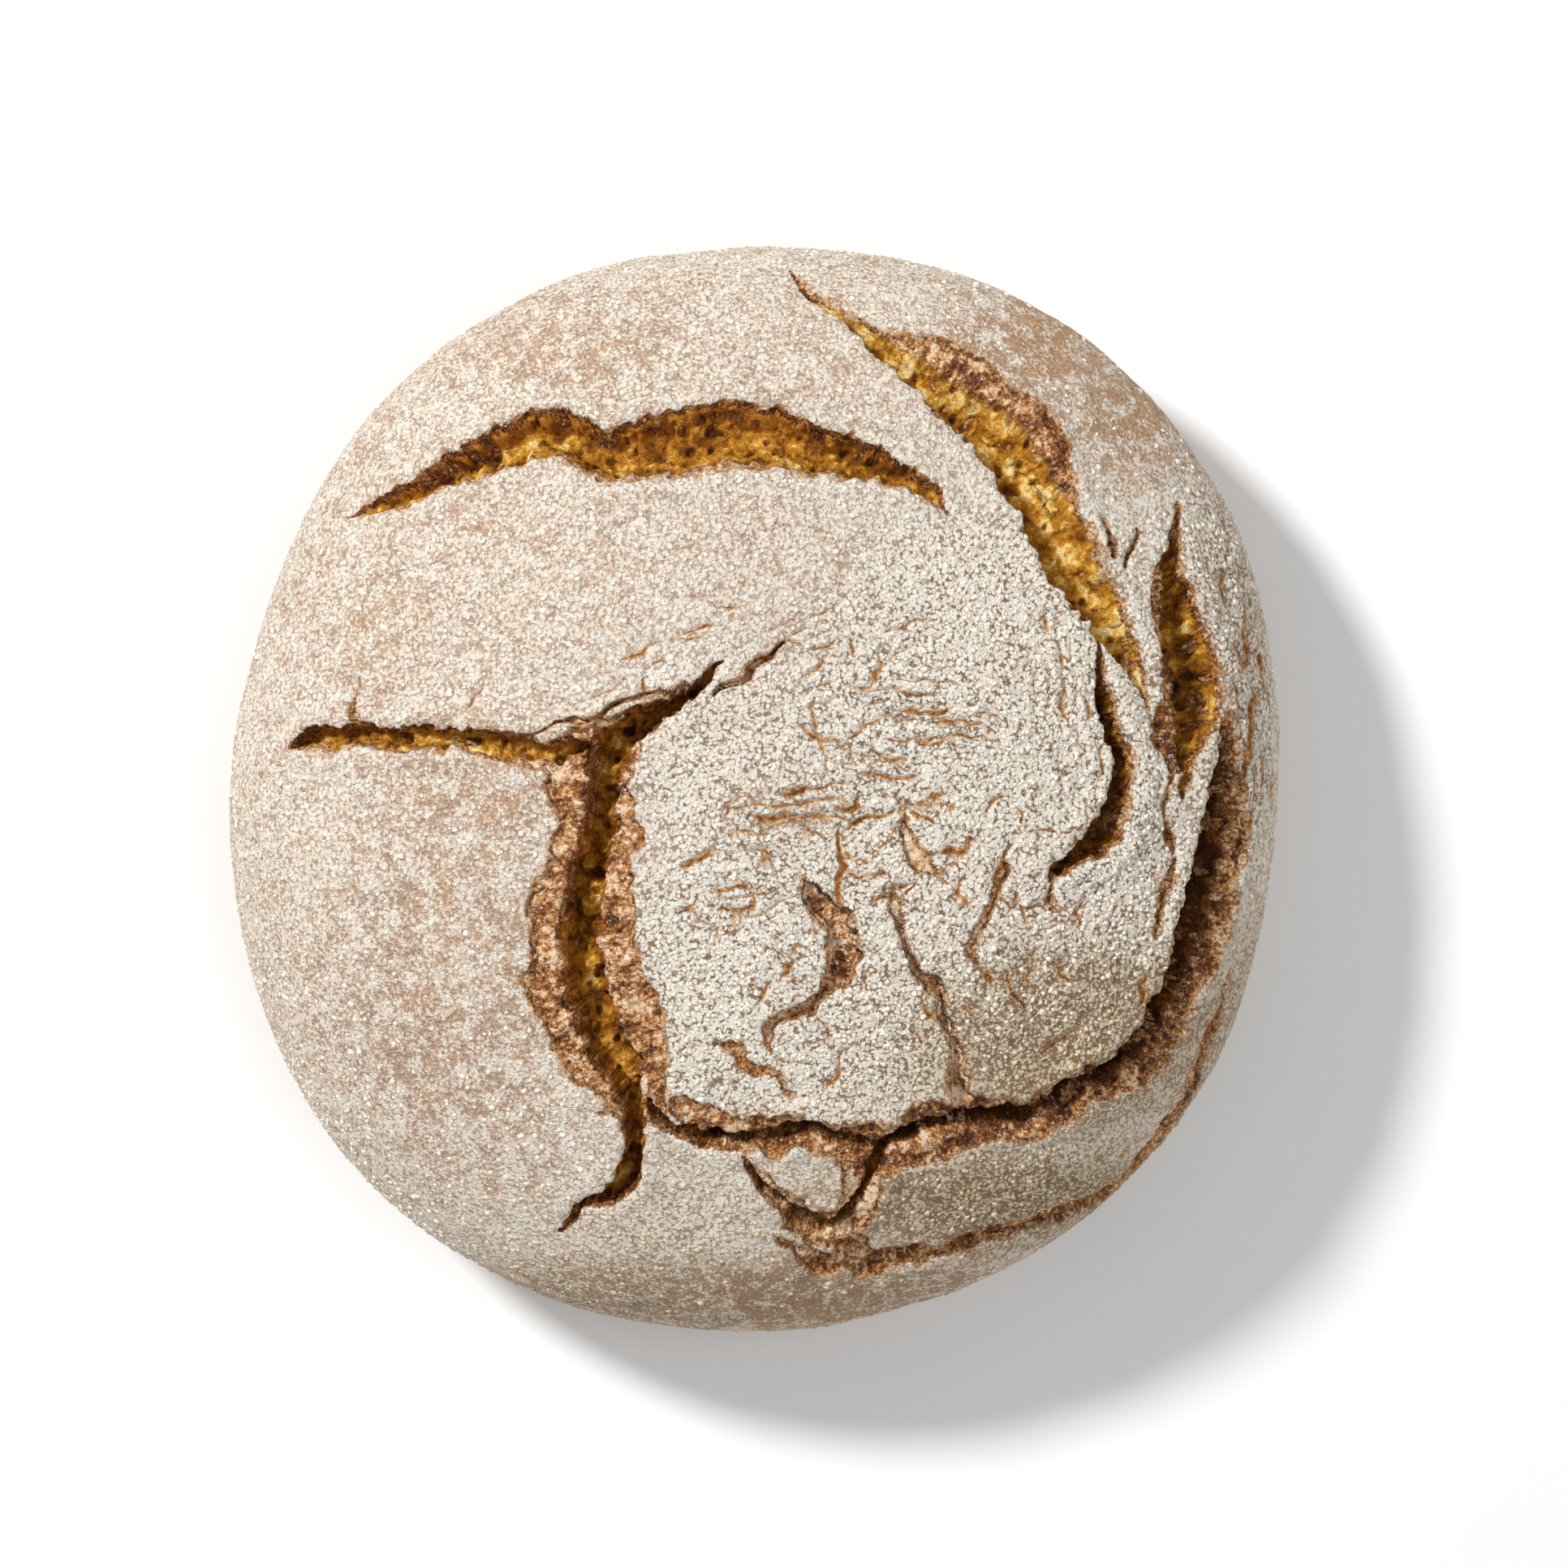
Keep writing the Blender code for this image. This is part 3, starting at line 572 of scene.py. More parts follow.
def makeCrust():
    # The skin: a grid bent over the loaf, pulled down into the cracks and tucked below the crumb there
    grid = bentGrid(crustGrid["squares"])
    normal = outward(grid).reshape(-1, 3)
    flat = grid.reshape(-1, 3)
    x, y, z = flat.T
    crown = np.flatnonzero(z > loafBody["waistHeight"])
    fade = eased((z[crown] - loafBody["waistHeight"]) / loafBody["waistFade"])
    fields = []
    for table, ragged in ((cracks, raggedCrack), (tears, raggedTear)):
        here = openings(table, x[crown], y[crown], ragged)
        whole = {key: np.zeros_like(x) for key in here}
        whole["edge"] += farAway
        for key, values in here.items():
            whole[key][crown] = values if key in ("edge", "bake", "sharp", "along") else values * fade
        fields.append(whole)
    split, tear = fields
    rise, looks = skinRise(x, y, z, split, tear)
    dig = split["deep"] + tear["deep"]
    under = crustGrid["tuckBelowCrumb"] * eased((dig - crustGrid["skinThickness"]) / 0.9)
    points = flat + (rise - dig - under)[:, None] * normal
    edge = np.minimum(split["edge"], tear["edge"])
    sharp = np.where(split["edge"] < tear["edge"], split["sharp"], 0.15 * tear["sharp"])
    dug = np.clip(dig / 2, 0, 1)
    for key in ("flour", "pebble", "lumps", "clumps", "lineWide"):
        looks[key] = looks[key] * (1 - eased(dug * 4))
    limits = lumpLimits
    offLips = eased((edge - limits["lip"]) / limits["lipFade"])
    offBase = eased((z - limits["base"]) / limits["baseFade"])
    for key in ("lumps", "clumps"):
        looks[key] = looks[key] * offLips * offBase * (1 - limits["fewerInShadeAndThinFlour"] * looks["dusk"])
    toast = np.exp(-(edge / 0.9) ** 2) * sharp
    attributes = looks | {"toast": toast, "rim": np.clip(edge, -2, 6), "dug": dug, "sharp": sharp,
                          "low": 1 - eased((z - 6) / 26)}
    side = crustGrid["squares"] + 1
    faces = gridFaces(side, side)
    at = np.arange(side * side).reshape(side, side)
    ring = np.concatenate([at[0, :-1], at[:-1, -1], at[-1, :0:-1], at[:0:-1, 0]])
    return points, faces, attributes, ring


baseRings = [0.985, 0.96, 0.92, 0.86, 0.78, 0.69, 0.6, 0.5, 0.4, 0.3, 0.2, 0.1]  # shares of the rim
baseGrain = [(9.0, 0.22), (3.5, 0.16)]
baseLooks = {"flour": 0.45, "low": 1.0, "side": 1.0, "webOne": 1.0, "webTwo": 1.0, "rim": 6.0,
             "lineSide": 3.0}


def withBase(points, faces, attributes, ring):
    # The base: the rim's ring drawn in to the middle, with shallow hollows in its underside
    edge = points[ring]
    middle = edge.mean(axis=0)
    layers, last, extra = [], ring, [points]
    count = len(points)
    for share in baseRings:
        level = middle + (edge - middle) * share
        level[:, 2] = 0
        level[:, 2] += np.maximum(0, layered(level, baseGrain, 80)) * eased((1 - share) / 0.06)
        new = np.arange(count, count + len(ring))
        layers.append(np.stack([last, new, np.roll(new, -1), np.roll(last, -1)], axis=1))
        extra.append(level)
        count, last = count + len(ring), new
    centre = np.array([[middle[0], middle[1], 0.0]])
    extra.append(centre)
    fan = np.stack([last, np.full_like(last, count), np.roll(last, -1)], axis=1)
    added = len(baseRings) * len(ring) + 1
    for key in attributes:
        fill = np.full(added, baseLooks.get(key, 0.0))
        attributes[key] = np.concatenate([attributes[key], fill])
    return np.vstack(extra), np.vstack([halved(np.vstack([faces] + layers)), fan]), attributes


crumbGrid = {"spacing": 0.33, "reach": 119, "triangles": 195000, "lipDrop": 0.45, "depthOfPatch": 14.5,
             "layers": [(4.2, 0.95), (1.7, 0.7), (0.9, 0.5)], "pitSpacing": 2.0, "pitDepth": 1.0}


def makeCrumb():
    # The torn bread inside the cracks: a fine patch under every opening, closed below by a smooth copy
    ticks = np.arange(-crumbGrid["reach"], crumbGrid["reach"], crumbGrid["spacing"])
    gx, gy = np.meshgrid(ticks, ticks)
    x, y = gx.ravel(), gy.ravel()
    z = domeHeight(x, y)
    body = np.stack([gx, gy, z.reshape(gx.shape)], axis=2)
    normal = outward(body).reshape(-1, 3)
    fade = eased((z - loafBody["waistHeight"]) / loafBody["waistFade"])
    split, tear = openings(cracks, x, y, raggedCrack), openings(tears, x, y, raggedTear)
    for field in (split, tear):
        field["deep"] *= fade
        field["lip"] *= fade
    dig = split["deep"] + tear["deep"]
    rows, columns = gx.shape
    bare = (dig > 0.4).reshape(gx.shape)
    keep = bare[:-1, :-1] & bare[:-1, 1:] & bare[1:, 1:] & bare[1:, :-1]
    faces = gridFaces(rows, columns, keep)
    used, faces = np.unique(faces, return_inverse=True)
    faces = faces.reshape(-1, 4)
    for field in (split, tear):
        for key in field:
            field[key] = field[key][used]
    x, y, z, dig = x[used], y[used], z[used], dig[used]
    normal, flat = normal[used], body.reshape(-1, 3)[used]
    rise = skinRise(x, y, z, split, tear)[0]
    drop = crumbGrid["lipDrop"] * (1 - eased((dig - 0.7) / 0.9))
    top = flat + (rise - dig - drop)[:, None] * normal
    steep = facing(top, faces)
    amount = eased((dig - 0.5) / 1.4) * np.clip(0.25 + dig / 5, 0, 1)
    rough = layered(top, crumbGrid["layers"], 90)
    pits = eased((latticeNoise(top, crumbGrid["pitSpacing"], 97) - 0.3) / 0.4) * crumbGrid["pitDepth"]
    top = top + ((rough - pits) * amount)[:, None] * (0.75 * steep + 0.25 * normal)
    below = flat - crumbGrid["depthOfPatch"] * normal
    # The patches' outer edges are those that only one face has
    count = len(top)
    edges = np.concatenate([faces[:, [0, 1]], faces[:, [1, 2]], faces[:, [2, 3]], faces[:, [3, 0]]])
    ends = np.sort(edges, axis=1).astype(np.int64)
    _, first, times = np.unique(ends[:, 0] * count + ends[:, 1], return_index=True, return_counts=True)
    rim = edges[first[times == 1]]
    skirt = np.stack([rim[:, 1], rim[:, 0], rim[:, 0] + count, rim[:, 1] + count], axis=1)
    torn = eased((tear["deep"] - 0.35) / 0.5) * (1 - eased((split["deep"] - 1.0) / 1.4))
    looks = {"deep": dig / 10, "bake": split["bake"], "torn": torn, "pit": np.clip(pits * amount, 0, 1),
             "crest": np.clip(rough / 1.3, -1, 1), "lee": split["lee"], "tearBake": tear["bake"],
             "along": tear["along"], "across": np.clip(tear["edge"], -9, 0)}
    looks = {key: np.concatenate([values, values]) for key, values in looks.items()}
    return np.vstack([top, below]), halved(np.vstack([faces, faces[:, ::-1] + count, skirt])), looks


def facing(points, faces):
    # Unit normals of a loose set of four-sided faces, at their points
    a, b, c, d = (points[faces[:, n]] for n in range(4))
    each = np.cross(c - a, d - b)
    total = np.zeros_like(points)
    for n in range(4):
        for axis in range(3):
            total[:, axis] += np.bincount(faces[:, n], weights=each[:, axis], minlength=len(points))
    return total / np.maximum(np.linalg.norm(total, axis=1, keepdims=True), 1e-9)


# Materials

def seen(red, green, blue):
    # A colour as a screen shows it, 0 to 255, made linear
    def linear(value):
        value /= 255
        return value / 12.92 if value <= 0.04045 else ((value + 0.055) / 1.055) ** 2.4
    return linear(red), linear(green), linear(blue), 1


class Nodes:
    # Short ways to add nodes to one material
    def __init__(self, name):
        self.material = bpy.data.materials.new(name)
        self.material.use_nodes = True
        self.tree = self.material.node_tree
        self.shader = self.tree.nodes["Principled BSDF"]
        inputs = {0: self.add("ShaderNodeTexCoord").outputs["Object"], "Scale": 1 / mm}
        self.place = self.add("ShaderNodeVectorMath", inputs, operation="SCALE").outputs[0]

    def add(self, kind, inputs=None, **settings):
        made = self.tree.nodes.new(kind)
        for key, value in settings.items():
            setattr(made, key, value)
        for key, value in (inputs or {}).items():
            self.plug(made.inputs[key], value)
        return made

    def plug(self, socket, value):
        if isinstance(value, bpy.types.NodeSocket):
            self.tree.links.new(value, socket)
        else:
            socket.default_value = value

    def reads(self, name):
        return self.add("ShaderNodeAttribute", attribute_name=name).outputs["Fac"]

    def noise(self, spacing, detail, seed, place=None, rough=0.6):
        # A noise whose lumps are about that many millimetres apart
        shifted = (seed * 7.3, seed * 3.1, seed * 5.7)
        moved = self.add("ShaderNodeVectorMath", {0: place or self.place, 1: shifted})
        inputs = {"Vector": moved.outputs[0], "Scale": 1 / spacing, "Detail": detail, "Roughness": rough}
        return self.add("ShaderNodeTexNoise", inputs).outputs["Fac"]

    def warped(self, spacing, reach):
        # The place, shifted about by a noise
        inputs = {"Vector": self.place, "Scale": 1 / spacing, "Detail": 3.0}
        bend = self.add("ShaderNodeTexNoise", inputs).outputs["Color"]
        bend = self.add("ShaderNodeVectorMath", {0: bend, "Scale": reach}, operation="SCALE").outputs[0]
        return self.add("ShaderNodeVectorMath", {0: self.place, 1: bend}).outputs[0]

    def voronoi(self, place, spacing, feature):
        return self.add("ShaderNodeTexVoronoi", {"Vector": place, "Scale": 1 / spacing}, feature=feature)

    def total(self, terms, start):
        # The start value plus every term times its weight
        for value, weight in terms:
            made = self.add("ShaderNodeMath", {0: value, 1: weight, 2: start}, operation="MULTIPLY_ADD")
            start = made.outputs[0]
        return start

    def math(self, operation, first, second=0.0, clamp=False):
        made = self.add("ShaderNodeMath", {0: first, 1: second}, operation=operation, use_clamp=clamp)
        return made.outputs[0]

    def ramp(self, value, low, high, start=0.0, end=1.0):
        inputs = {"Value": value, "From Min": low, "From Max": high, "To Min": start, "To Max": end}
        return self.add("ShaderNodeMapRange", inputs, interpolation_type="SMOOTHSTEP").outputs["Result"]

    def mix(self, share, first, second, blend="MIX"):
        made = self.add("ShaderNodeMix", data_type="RGBA", blend_type=blend)
        for socket, value in ((0, share), (6, first), (7, second)):
            self.plug(made.inputs[socket], value)
        return made.outputs[2]

    def bumped(self, height):
        # Height in millimetres
        inputs = {"Height": height, "Distance": mm, "Strength": 1.0}
        return self.add("ShaderNodeBump", inputs).outputs["Normal"]

    def finish(self, colour, normal, roughness, specular):
        self.plug(self.shader.inputs["Base Color"], colour)
        self.plug(self.shader.inputs["Roughness"], roughness)
        self.plug(self.shader.inputs["Specular IOR Level"], specular)
        if normal:
            self.plug(self.shader.inputs["Normal"], normal)
        return self.material


crustLook = {
    "peach": seen(230, 201, 178), "lilac": seen(208, 186, 174), "tan": seen(208, 168, 124),
    # The darker skin and flour colours for the lower right carry painted shade, with thinner flour there
    "skinInShade": seen(140, 110, 76), "under": seen(158, 114, 76), "freckle": seen(190, 166, 142),
    "speck": seen(196, 144, 92), "flour": seen(255, 251, 240), "flourShade": seen(243, 229, 212),
    # The gap and crevice colours: partly bare crust, partly painted shade in the hollows between grains
    "flourInShade": seen(222, 206, 172), "shadedGap": seen(204, 177, 150), "shadedCrevice": seen(126, 96, 68),
}
tornLook = {"pale": seen(236, 208, 174), "orange": seen(196, 134, 72), "brown": seen(130, 82, 50),
            "dark": seen(76, 44, 28)}


def tornSkin(m, value):
    # Torn crust, from its dark pits at 0.1 to its pale crests at 0.75
    colour = m.mix(m.ramp(value, 0.10, 0.34), tornLook["dark"], tornLook["brown"])
    colour = m.mix(m.ramp(value, 0.34, 0.54), colour, tornLook["orange"])
    return m.mix(m.ramp(value, 0.52, 0.76), colour, tornLook["pale"])


def crustMaterial():
    m = Nodes("flouredCrust")
    look = crustLook
    flour, pebble, web, dusk = m.reads("flour"), m.reads("pebble"), m.reads("web"), m.reads("dusk")
    fold, side, rim, dug = m.reads("fold"), m.reads("side"), m.reads("rim"), m.reads("dug")
    sharp, low = m.reads("sharp"), m.reads("low")
    loose = m.warped(1.6, 1.5)
    # The skin: pale where it is floured, tan where it is thin, freckled
    grain = m.noise(0.95, 3, 3, rough=0.85)
    skin = m.mix(m.ramp(m.noise(9, 3, 1), 0.42, 0.56), look["peach"], look["lilac"])
    skin = m.mix(m.ramp(flour, 0.66, 0.25), skin, look["tan"])
    # Painted shade towards the lower right, where the flour is also thinner
    skin = m.mix(m.math("MULTIPLY", dusk, 0.85), skin, look["skinInShade"])
    skin = m.mix(m.math("MULTIPLY", low, 0.8), skin, look["under"])
    skin = m.mix(m.ramp(m.noise(1.3, 3, 2, rough=0.7), 0.57, 0.66, 0, 0.9), skin, look["speck"])
    skin = m.mix(m.ramp(grain, 0.40, 0.60, 0.45, 0.0), skin, look["freckle"], "MULTIPLY")
    # Flour in grains of uneven tone, with gaps between them that deepen where it lies thick: partly bare
    # crust, partly painted shade in the hollows
    cell = m.voronoi(loose, 0.85, "F1").outputs
    tone = m.add("ShaderNodeSeparateColor", {"Color": cell["Color"]}).outputs[0]
    clot = m.noise(4.2, 3, 4, rough=0.7)
    worn = m.math("MULTIPLY", m.math("SUBTRACT", 0.75, flour, clamp=True), m.math("SUBTRACT", clot, 0.5))
    cover = m.total([(flour, 0.9), (pebble, 0.28), (dusk, -0.24), (low, -0.33), (worn, 4.8)], -2.04)
    level = m.total([(tone, 0.25), (grain, 2.0), (clot, 1.2), (cell["Distance"], -0.3)], cover)
    powder = m.ramp(level, -0.20, 0.18)
    dust = m.mix(m.ramp(level, 0.05, 0.6), look["flourShade"], look["flour"])
    # The flour is darker there too: painted shade
    dust = m.mix(m.math("MULTIPLY", dusk, 0.8), dust, look["flourInShade"])
    colour = m.mix(powder, skin, dust)
    thick = m.math("MAXIMUM", m.ramp(pebble, 0.1, 0.9, 0.30, 1.0), dusk)
    hollow = m.total([(cell["Distance"], 1.0), (grain, -0.6), (m.noise(2.6, 2, 6), 0.5), (dusk, 0.16)], 0.0)
    # Painted shade in the hollows between grains, over partly bare crust
    shadedGap = m.ramp(hollow, 0.44, 0.70)
    colour = m.mix(m.math("MULTIPLY", shadedGap, m.ramp(thick, 0.3, 1.0, 0.36, 0.8)), colour, look["shadedGap"])
    crack = m.math("MULTIPLY", m.ramp(hollow, 0.60, 0.80, 0, 0.85), thick)
    colour = m.mix(crack, colour, look["shadedCrevice"])
    # Thin cracks between islands of flour, and the furrows of wrinkles, both down to bare crust
    rough = m.math("MULTIPLY", m.math("SUBTRACT", m.noise(0.9, 2, 7, rough=0.7), 0.5), 1.4)
    island = m.math("MINIMUM", m.math("ABSOLUTE", m.reads("webOne")), m.math("ABSOLUTE", m.reads("webTwo")))
    width = m.math("MULTIPLY", m.ramp(m.noise(7, 2, 8), 0.40, 0.60, -0.5, 0.8), web)
    rift = m.total([(width, 0.8), (island, -9.0), (rough, 1.5)], -0.12)
    furrow = m.total([(m.math("ABSOLUTE", side), -1.1), (fold, 0.6), (rough, 0.9)], -0.12)
    furrow = m.math("MULTIPLY", furrow, m.ramp(fold, 0.05, 0.3))
    rift = m.math("MAXIMUM", rift, furrow)
    lineWide = m.reads("lineWide")
    line = m.total([(m.math("ABSOLUTE", m.reads("lineSide")), -1.0), (lineWide, 1.1), (rough, 1.0)], -0.07)
    rift = m.math("MAXIMUM", rift, m.math("MULTIPLY", line, m.ramp(lineWide, 0.05, 0.25)))
    bare = m.total([(rough, 0.7), (m.ramp(rift, 0.1, 0.8), -0.22), (m.noise(2.2, 3, 9), 1.0)], 0.12)
    colour = m.mix(m.ramp(rift, -0.06, 0.24), colour, tornSkin(m, bare))
    # Torn lips are toasted, and the crust is torn where it dives into a crack
    margin = m.ramp(m.noise(3.4, 2, 10), 0.42, 0.60, -0.25, 0.9)
    lip = m.total([(rim, -1.0), (rough, 1.0), (margin, 1.0), (sharp, -0.6)], 0.0)
    toasted = tornSkin(m, m.total([(rough, 1.0), (sharp, -0.30), (margin, 0.15)], 0.50))
    steepOrDug = m.total([(sharp, 1.0), (dug, 1.0)], 0.0)
    dusted = m.math("MULTIPLY", m.ramp(grain, 0.5, 0.6, 0, 0.45), m.ramp(steepOrDug, 0.6, 0.2))
    toasted = m.mix(dusted, toasted, look["flourShade"])
    colour = m.mix(m.ramp(lip, 0.0, 0.3, 0, 0.85), colour, toasted)
    within = m.ramp(m.total([(dug, 1.0), (rough, 0.08)], 0.0), 0.05, 0.13)
    colour = m.mix(within, colour, toasted)
    raised = m.total([(grain, 0.9), (level, 0.10), (shadedGap, -0.16), (crack, -0.30)], 0.0)
    raised = m.math("SUBTRACT", raised, m.ramp(rift, -0.5, 0.4, 0, 0.6))
    return m.finish(colour, m.bumped(raised), 0.92, 0.12)


crumbLook = {
    "pale": seen(246, 222, 154), "gold": seen(224, 172, 74), "ochre": seen(180, 120, 30),
    "brown": seen(128, 74, 16), "dark": seen(70, 38, 10), "wallRustAndGlow": seen(190, 108, 46),
    "dust": seen(246, 234, 220),
}


def crumbMaterial():
    m = Nodes("tornCrumb")
    look = crumbLook
    deep, bake, torn, pit = m.reads("deep"), m.reads("bake"), m.reads("torn"), m.reads("pit")
    lee, tearBake, crest = m.reads("lee"), m.reads("tearBake"), m.reads("crest")
    # Bread: darker with the bake; a painted highlight on its crests, and painted shade in pits, deep down and
    # on the shaded walls
    broad = m.math("SUBTRACT", m.noise(5.0, 3, 11), 0.5)
    small = m.math("SUBTRACT", m.noise(1.2, 3, 12, rough=0.75), 0.5)
    # Painted shade deeper down, stronger where the bake is dark
    deepShade = m.math("MULTIPLY", m.math("SUBTRACT", deep, 0.35), bake)
    value = m.total([(bake, 0.62), (broad, 2.0), (small, 1.1), (pit, 0.5), (crest, -0.16), (lee, 0.32),
                     (deepShade, 0.5)], 0.08)
    colour = m.mix(m.ramp(value, -0.16, 0.10), look["pale"], look["gold"])
    colour = m.mix(m.ramp(value, 0.04, 0.30), colour, look["ochre"])
    colour = m.mix(m.ramp(value, 0.34, 0.62), colour, look["brown"])
    colour = m.mix(m.ramp(value, 0.66, 1.0), colour, look["dark"])
    # Rust-orange on the steep shaded walls: partly toasted crumb, partly a painted glow of light through the
    # crumb in shade
    wallRustAndGlow = m.math("MULTIPLY", m.ramp(lee, 0.25, 0.9), m.ramp(m.noise(2.2, 3, 18), 0.42, 0.6, 0.0, 0.7))
    colour = m.mix(wallRustAndGlow, colour, look["wallRustAndGlow"])
    # Where only the skin is torn off: a painted highlight on the crests, painted shade deeper down, brown in
    # the pits, with specks of flour
    speck = m.math("SUBTRACT", m.noise(0.9, 3, 13, rough=0.75), 0.5)
    patch = m.math("SUBTRACT", m.noise(4.5, 3, 14), 0.5)
    along, across = m.reads("along"), m.math("MULTIPLY", m.reads("across"), 0.3)
    strand = m.add("ShaderNodeCombineXYZ", {"X": along, "Y": across})
    fibre = m.math("SUBTRACT", m.noise(0.9, 2, 19, strand.outputs[0], 0.7), 0.5)
    value = m.total([(crest, 0.2), (speck, 1.6), (fibre, 0.8), (patch, 1.3), (tearBake, -0.6),
                     (deep, -0.8)], 0.96)
    skin = tornSkin(m, value)
    powder = m.noise(1.0, 3, 15, rough=0.7)
    dust = m.total([(powder, 1.0), (crest, 0.06), (tearBake, -0.10), (fibre, 0.2)], 0.0)
    skin = m.mix(m.ramp(dust, 0.53, 0.63, 0, 0.85), skin, look["dust"])
    colour = m.mix(torn, colour, skin)
    pores, mounds = m.noise(0.6, 2, 16), m.noise(2.8, 2, 17)
    raised = m.total([(pores, 0.4), (small, 1.0), (mounds, 0.7), (fibre, 0.25)], 0.0)
    return m.finish(colour, m.bumped(raised), 0.8, 0.2)


def powderMaterial():
    m = Nodes("flourLump")
    tint = m.mix(m.ramp(m.noise(1.6, 2, 21), 0.3, 0.7), seen(230, 217, 198), seen(250, 243, 230))
    # Darker towards the lower right: painted shade, like that on the crust it lies on
    at = m.add("ShaderNodeSeparateXYZ", {0: m.place}).outputs
    dusk = m.total([(at["X"], 0.35), (at["Y"], -0.94)], 0.0)
    tint = m.mix(m.ramp(dusk, 58, 82, 0, 0.75), tint, seen(222, 208, 176), "MULTIPLY")
    return m.finish(tint, None, 0.95, 0.1)


def bitMaterial():
    m = Nodes("crustBit")
    tint = m.mix(m.ramp(m.noise(1.4, 2, 31), 0.35, 0.65), seen(140, 86, 50), seen(206, 150, 98))
    tint = m.mix(m.ramp(m.noise(2.3, 2, 32), 0.52, 0.62), tint, seen(226, 206, 178))
    return m.finish(tint, None, 0.85, 0.2)


# Lumps of flour and bits of broken crust, scattered over a surface and joined

scatters = {
    "flourLumps": {"share": "lumps", "perSquareMetre": 900000, "least": 0.18, "most": 0.76, "flat": 0.6,
                   "seed": 5, "material": "powder"},
    "flourGrains": {"share": "clumps", "perSquareMetre": 390000, "least": 0.22, "most": 0.95, "flat": 0.5,
                    "seed": 6, "material": "powder"},
    "crustBits": {"share": "toast", "perSquareMetre": 700000, "least": 0.1, "most": 0.34, "flat": 0.6,
                  "seed": 7, "material": "bit"},
}
scatterShape = {"fromShare": 0.35, "fullShare": 0.95, "mostlySmall": 2.2, "bend": 0.45, "bendScale": 2400.0}


def scatterTree(name, finish):
    tree = bpy.data.node_groups.new(name, "GeometryNodeTree")
    face = tree.interface
    face.new_socket("Geometry", in_out="INPUT", socket_type="NodeSocketGeometry")
    for label in ("Per Square Metre", "Least Size", "Most Size", "Flatness"):
        face.new_socket(label, in_out="INPUT", socket_type="NodeSocketFloat")
    face.new_socket("Seed", in_out="INPUT", socket_type="NodeSocketInt")
    face.new_socket("Share", in_out="INPUT", socket_type="NodeSocketString")
    face.new_socket("Geometry", in_out="OUTPUT", socket_type="NodeSocketGeometry")

    def add(kind, inputs=None, **settings):
        made = tree.nodes.new(kind)
        for key, value in settings.items():
            setattr(made, key, value)
        for key, value in (inputs or {}).items():
            if isinstance(value, bpy.types.NodeSocket):
                tree.links.new(value, made.inputs[key])
            else:
                made.inputs[key].default_value = value
        return made

    def random(kind, inputs=None):
        made = add("FunctionNodeRandomValue", inputs, data_type=kind)
        return next(output for output in made.outputs if output.enabled)

    start = add("NodeGroupInput").outputs
    want = scatterShape
    # More points where the share is high
    share = add("GeometryNodeInputNamedAttribute", {"Name": start["Share"]}, data_type="FLOAT")
    share = share.outputs["Attribute"]
    span = {"Value": share, "From Min": want["fromShare"], "From Max": want["fullShare"]}
    gate = add("ShaderNodeMapRange", span).outputs["Result"]
    density = {0: gate, 1: start["Per Square Metre"]}
    density = add("ShaderNodeMath", density, operation="MULTIPLY").outputs[0]
    ground = {"Mesh": start["Geometry"], "Density": density, "Seed": start["Seed"]}
    points = add("GeometryNodeDistributePointsOnFaces", ground, distribute_method="RANDOM").outputs
    # On each a small ball, mostly of the lesser sizes, a little wider one way and turned at random
    ball = add("GeometryNodeMeshUVSphere", {"Radius": 1.0, "Segments": 4, "Rings": 2}).outputs["Mesh"]
    size = random("FLOAT", {"Seed": start["Seed"]})
    size = add("ShaderNodeMath", {0: size, 1: want["mostlySmall"]}, operation="POWER").outputs[0]
    span = {"Value": size, "To Min": start["Least Size"], "To Max": start["Most Size"]}
    size = add("ShaderNodeMapRange", span).outputs["Result"]
    wide = random("FLOAT_VECTOR", {0: (0.7, 0.7, 0.8), 1: (1.3, 1.3, 1.0)})
    squash = add("ShaderNodeCombineXYZ", {"X": 1.0, "Y": 1.0, "Z": start["Flatness"]}).outputs[0]
    shape = add("ShaderNodeVectorMath", {0: wide, 1: squash}, operation="MULTIPLY").outputs[0]
    shape = add("ShaderNodeVectorMath", {0: shape, "Scale": size}, operation="SCALE").outputs[0]
    turn = random("FLOAT_VECTOR", {0: (-0.3, -0.3, 0), 1: (0.3, 0.3, math.tau)})
    turns = {"Rotation": points["Rotation"], "Rotate By": turn}
    pose = add("FunctionNodeRotateEuler", turns, space="LOCAL").outputs[0]
    placed = {"Points": points["Points"], "Instance": ball, "Rotation": pose, "Scale": shape}
    each = add("GeometryNodeInstanceOnPoints", placed).outputs[0]
    real = add("GeometryNodeRealizeInstances", {"Geometry": each}).outputs[0]
    # Bent out of true by a fine noise
    where = add("GeometryNodeInputPosition").outputs[0]
    noise = {"Vector": where, "Scale": want["bendScale"], "Detail": 1.0}
    bend = add("ShaderNodeTexNoise", noise).outputs["Color"]
    centred = add("ShaderNodeVectorMath", {0: bend, 1: (0.5, 0.5, 0.5)}, operation="SUBTRACT").outputs[0]
    reach = want["bend"] * mm
    push = add("ShaderNodeVectorMath", {0: centred, "Scale": reach}, operation="SCALE").outputs[0]
    lumpy = add("GeometryNodeSetPosition", {"Geometry": real, "Offset": push}).outputs[0]
    soft = add("GeometryNodeSetShadeSmooth", {"Geometry": lumpy}).outputs[0]
    dressed = add("GeometryNodeSetMaterial", {"Geometry": soft, "Material": finish}).outputs[0]
    tree.links.new(dressed, add("NodeGroupOutput").inputs[0])
    return tree


